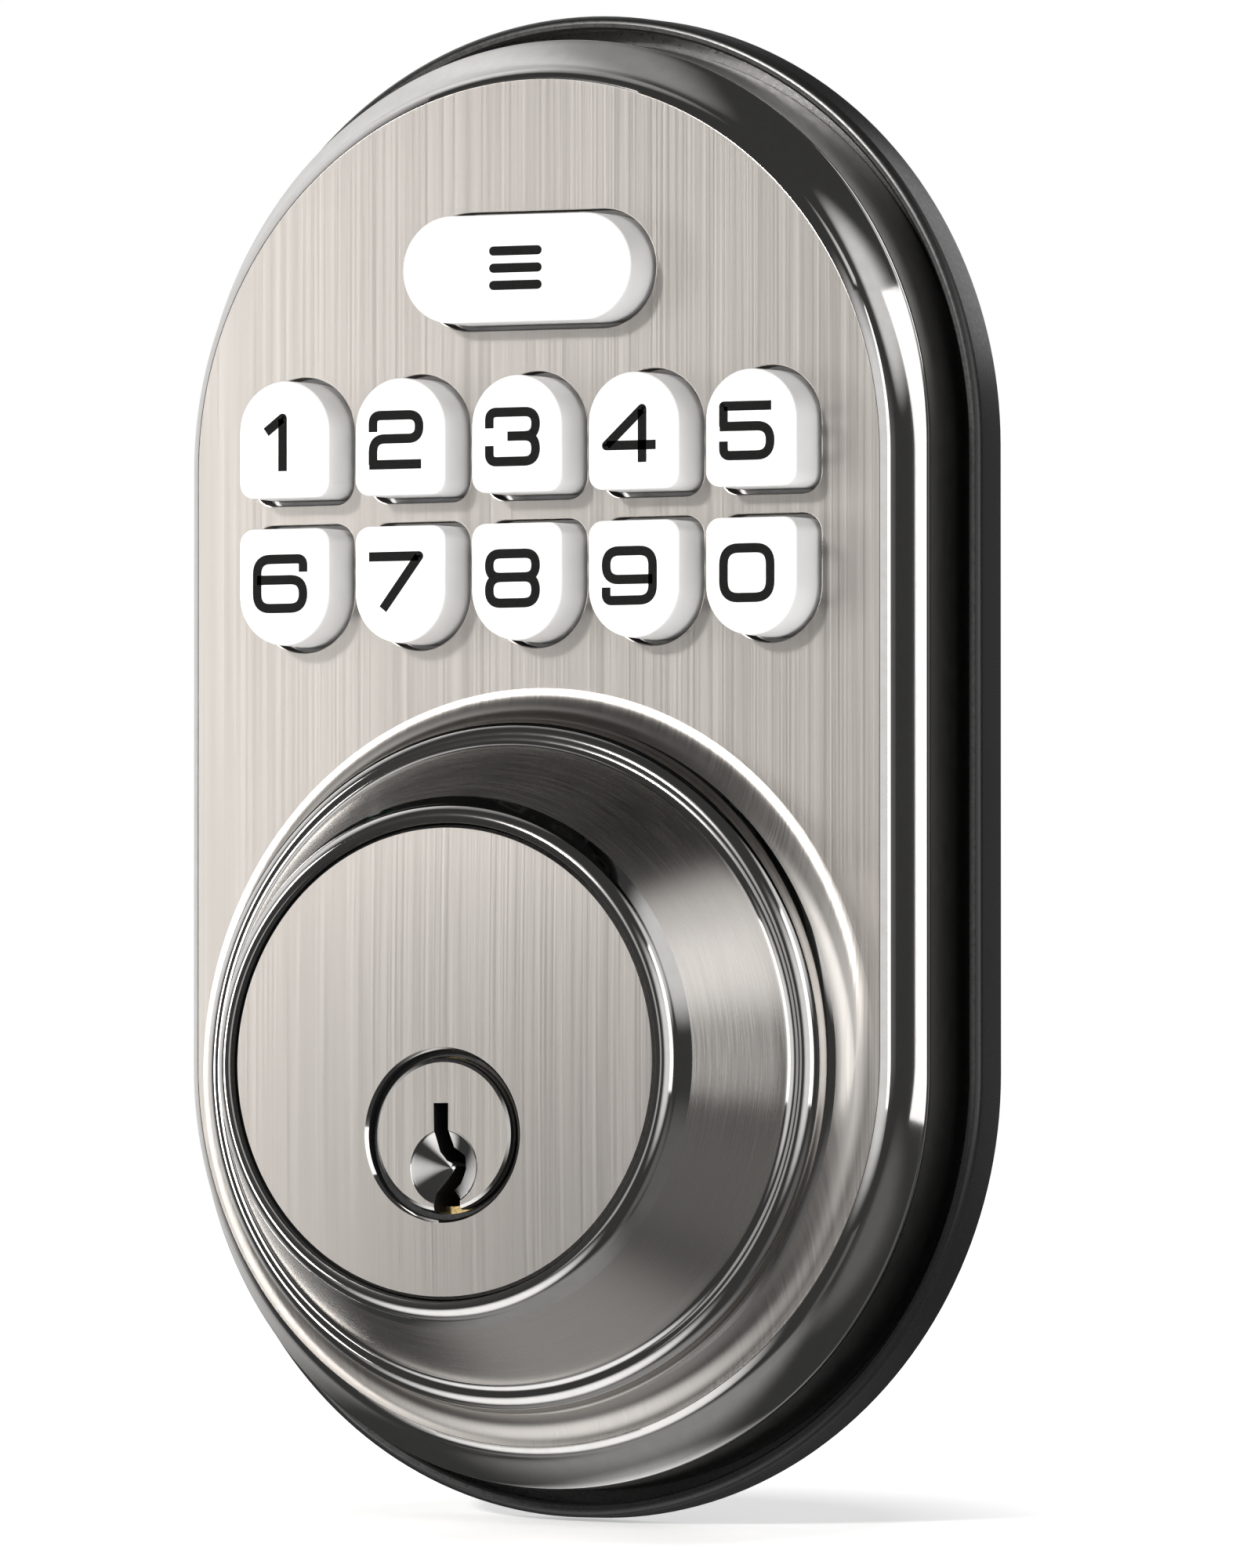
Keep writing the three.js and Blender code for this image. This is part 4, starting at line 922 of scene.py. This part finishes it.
def camera():
    back = heading(AZIMUTH, ELEVATION)
    right = Vector((math.cos(AZIMUTH), math.sin(AZIMUTH), 0))
    target = Vector((0, FACE_Y * MM, 0)) + right * AIM_RIGHT - right.cross(-back) * AIM_DOWN
    data = bpy.data.cameras.new("camera")
    data.sensor_width = SENSOR
    data.lens = SENSOR * DISTANCE / FRAME_HEIGHT
    data.clip_start, data.clip_end = 0.05, 60
    piece = bpy.data.objects.new("camera", data)
    bpy.context.scene.collection.objects.link(piece)
    piece.location = target + back * DISTANCE
    piece.rotation_mode = "QUATERNION"
    piece.rotation_quaternion = (-back).to_track_quat("-Z", "Y")
    bpy.context.scene.camera = piece


FLOOR_TILT = math.radians(5.5)
FLOOR_RADIUS = 0.6  # in metres
FLOOR_DROP = 0.1
FLOOR_GLOW = (0.42, 0.95)  # the floor's own light under the lock and further out
FLOOR_SHADE = (0.025, 0.055)  # the distances between which it changes, in metres


def floor():
    """A pale round floor that fades out into the white background, left out of reflections. It glows more
    further out than under the lock, which paints out the key light's cast shadow away from the lock.
    """
    s = Shader("floor_white")
    s.set(Base_Color=grey(0.9), Roughness=0.3)
    place = s.add("TexCoord").outputs["Object"]
    reach = s.add("VectorMath", {0: place}, operation="LENGTH").outputs["Value"]
    fade = s.ramp(reach, 0.0, 1.0, FLOOR_RADIUS * 0.25, FLOOR_RADIUS * 0.9)
    strength = s.ramp(reach, FLOOR_GLOW[0], FLOOR_GLOW[1], FLOOR_SHADE[0], FLOOR_SHADE[1])
    glow = s.add("Emission", {"Color": (1, 1, 1, 1), "Strength": strength})
    lit = s.add("AddShader", {0: s.bsdf.outputs[0], 1: glow.outputs[0]})
    clear = s.add("BsdfTransparent")
    mixed = s.add("MixShader", {0: fade, 1: lit.outputs[0], 2: clear.outputs[0]})
    s.tree.links.new(mixed.outputs[0], s.tree.nodes["Material Output"].inputs["Surface"])
    mesh = bpy.data.meshes.new("floor")
    rim = circle(0, 0, FLOOR_RADIUS)
    mesh.from_pydata([(x, y, 0) for x, y in rim], [], [tuple(range(len(rim)))])
    mesh.materials.append(s.material)
    piece = bpy.data.objects.new("floor", mesh)
    bpy.context.scene.collection.objects.link(piece)
    tilt = Matrix.Rotation(AZIMUTH, 4, "Z") @ Matrix.Rotation(FLOOR_TILT, 4, "X")
    piece.matrix_world = Matrix.Translation((0, 0, (gasket_low.z - FLOOR_DROP) * MM)) @ tilt
    piece.visible_glossy = False


def softbox(name, place, aim, width, height, radiance, warm=0.0):
    """A rectangular light at a place in millimetres, facing another, with an even radiance."""
    data = bpy.data.lights.new(name, "AREA")
    data.shape = "RECTANGLE"
    data.size, data.size_y = width * MM, height * MM
    data.energy = radiance * math.pi * width * height * MM * MM
    data.color = grey(1, warm)[:3]
    piece = bpy.data.objects.new(name, data)
    bpy.context.scene.collection.objects.link(piece)
    piece.location = Vector(place) * MM
    piece.rotation_mode = "QUATERNION"
    piece.rotation_quaternion = (Vector(place) - Vector(aim)).to_track_quat("Z", "Y")


class Studio(NodeTree):
    """The world's node tree."""

    def __init__(self, scene):
        scene.world = bpy.data.worlds.new("studio")
        scene.world.use_nodes = True
        super().__init__(scene.world.node_tree)
        self.tree.nodes.clear()
        self.direction = self.add("TexCoord").outputs["Generated"]

    def card(self, direction, inner, outer, tone, total):
        """A soft round card in the studio: its light is added to the total so far."""
        facing = self.add("VectorMath", {0: self.direction, 1: direction}, operation="DOT_PRODUCT")
        span = {"Value": facing.outputs["Value"], "From Min": math.cos(outer), "From Max": math.cos(inner)}
        edge = self.add("MapRange", span, interpolation_type="SMOOTHSTEP")
        light = self.add("Math", {0: edge.outputs["Result"], 1: tone, 2: total}, operation="MULTIPLY_ADD")
        return light.outputs[0]


# Soft cards: azimuth from straight ahead towards +X, elevation, inner and outer half angles, all in
# degrees, and brightness.
STUDIO_TONE = 0.05
STUDIO_CARDS = {
    "front_fill": (45, 5, 10, 35, 0.9),
    "left_side": (-110, 20, 15, 50, 0.9),
    "table_front": (-30, -50, 10, 35, 1.3),
    "table_behind": (-170, -65, 10, 40, 0.28),
    "table_right": (105, -35, 8, 28, 0.1),
    "right_high": (105, 35, 8, 26, 0.8),
    "behind_high": (-120, 65, 8, 30, 0.3),
    "behind_right": (155, 5, 8, 25, 0.15),
}


def world():
    """White to the camera. Every other ray sees a dark studio with a few soft cards."""
    scene = bpy.context.scene
    w = Studio(scene)
    total = STUDIO_TONE
    for azimuth, elevation, inner, outer, tone in STUDIO_CARDS.values():
        direction = heading(math.radians(azimuth), math.radians(elevation))
        total = w.card(direction, math.radians(inner), math.radians(outer), tone, total)
    studio = w.add("Background", {"Color": total, "Strength": 1.0})
    white = w.add("Background", {"Color": (1, 1, 1, 1), "Strength": 1.0})
    seen = w.add("LightPath").outputs["Is Camera Ray"]
    mixed = w.add("MixShader", {0: seen, 1: studio.outputs[0], 2: white.outputs[0]})
    w.add("OutputWorld", {"Surface": mixed.outputs[0]})
    scene.view_settings.view_transform = "Standard"


def lights():
    """A far key light, strips and a panel for the metal's highlights, and a light from behind."""
    softbox("key", (-1090, -3570, 1430), (0, -15, 0), 340, 340, 430, 0.02)
    softbox("left_strip", (-195, -180, -25), (-20, -15, -25), 45, 230, 6.0, 0.02)
    softbox("behind", (350, 900, 500), (0, 0, 0), 500, 500, 1.6)
    softbox("centre_strip", (-70, -440, 40), (0, -15, 0), 120, 420, 0.4)
    softbox("right_panel", (450, -130, 120), (0, -130, 120), 240, 440, 1.6)


# ---- Build ----
camera()
floor()
world()
lights()
housing_ring()
face_plate()
boss()
cylinder_disc()
plug()
plug_recess()
for key_node in KEY_NODES:
    key_cap(key_node)
gasket()
pin_springs()
membrane()
for look, nodes in PLAIN.items():
    for node_name in nodes:
        dress(node_name, look)
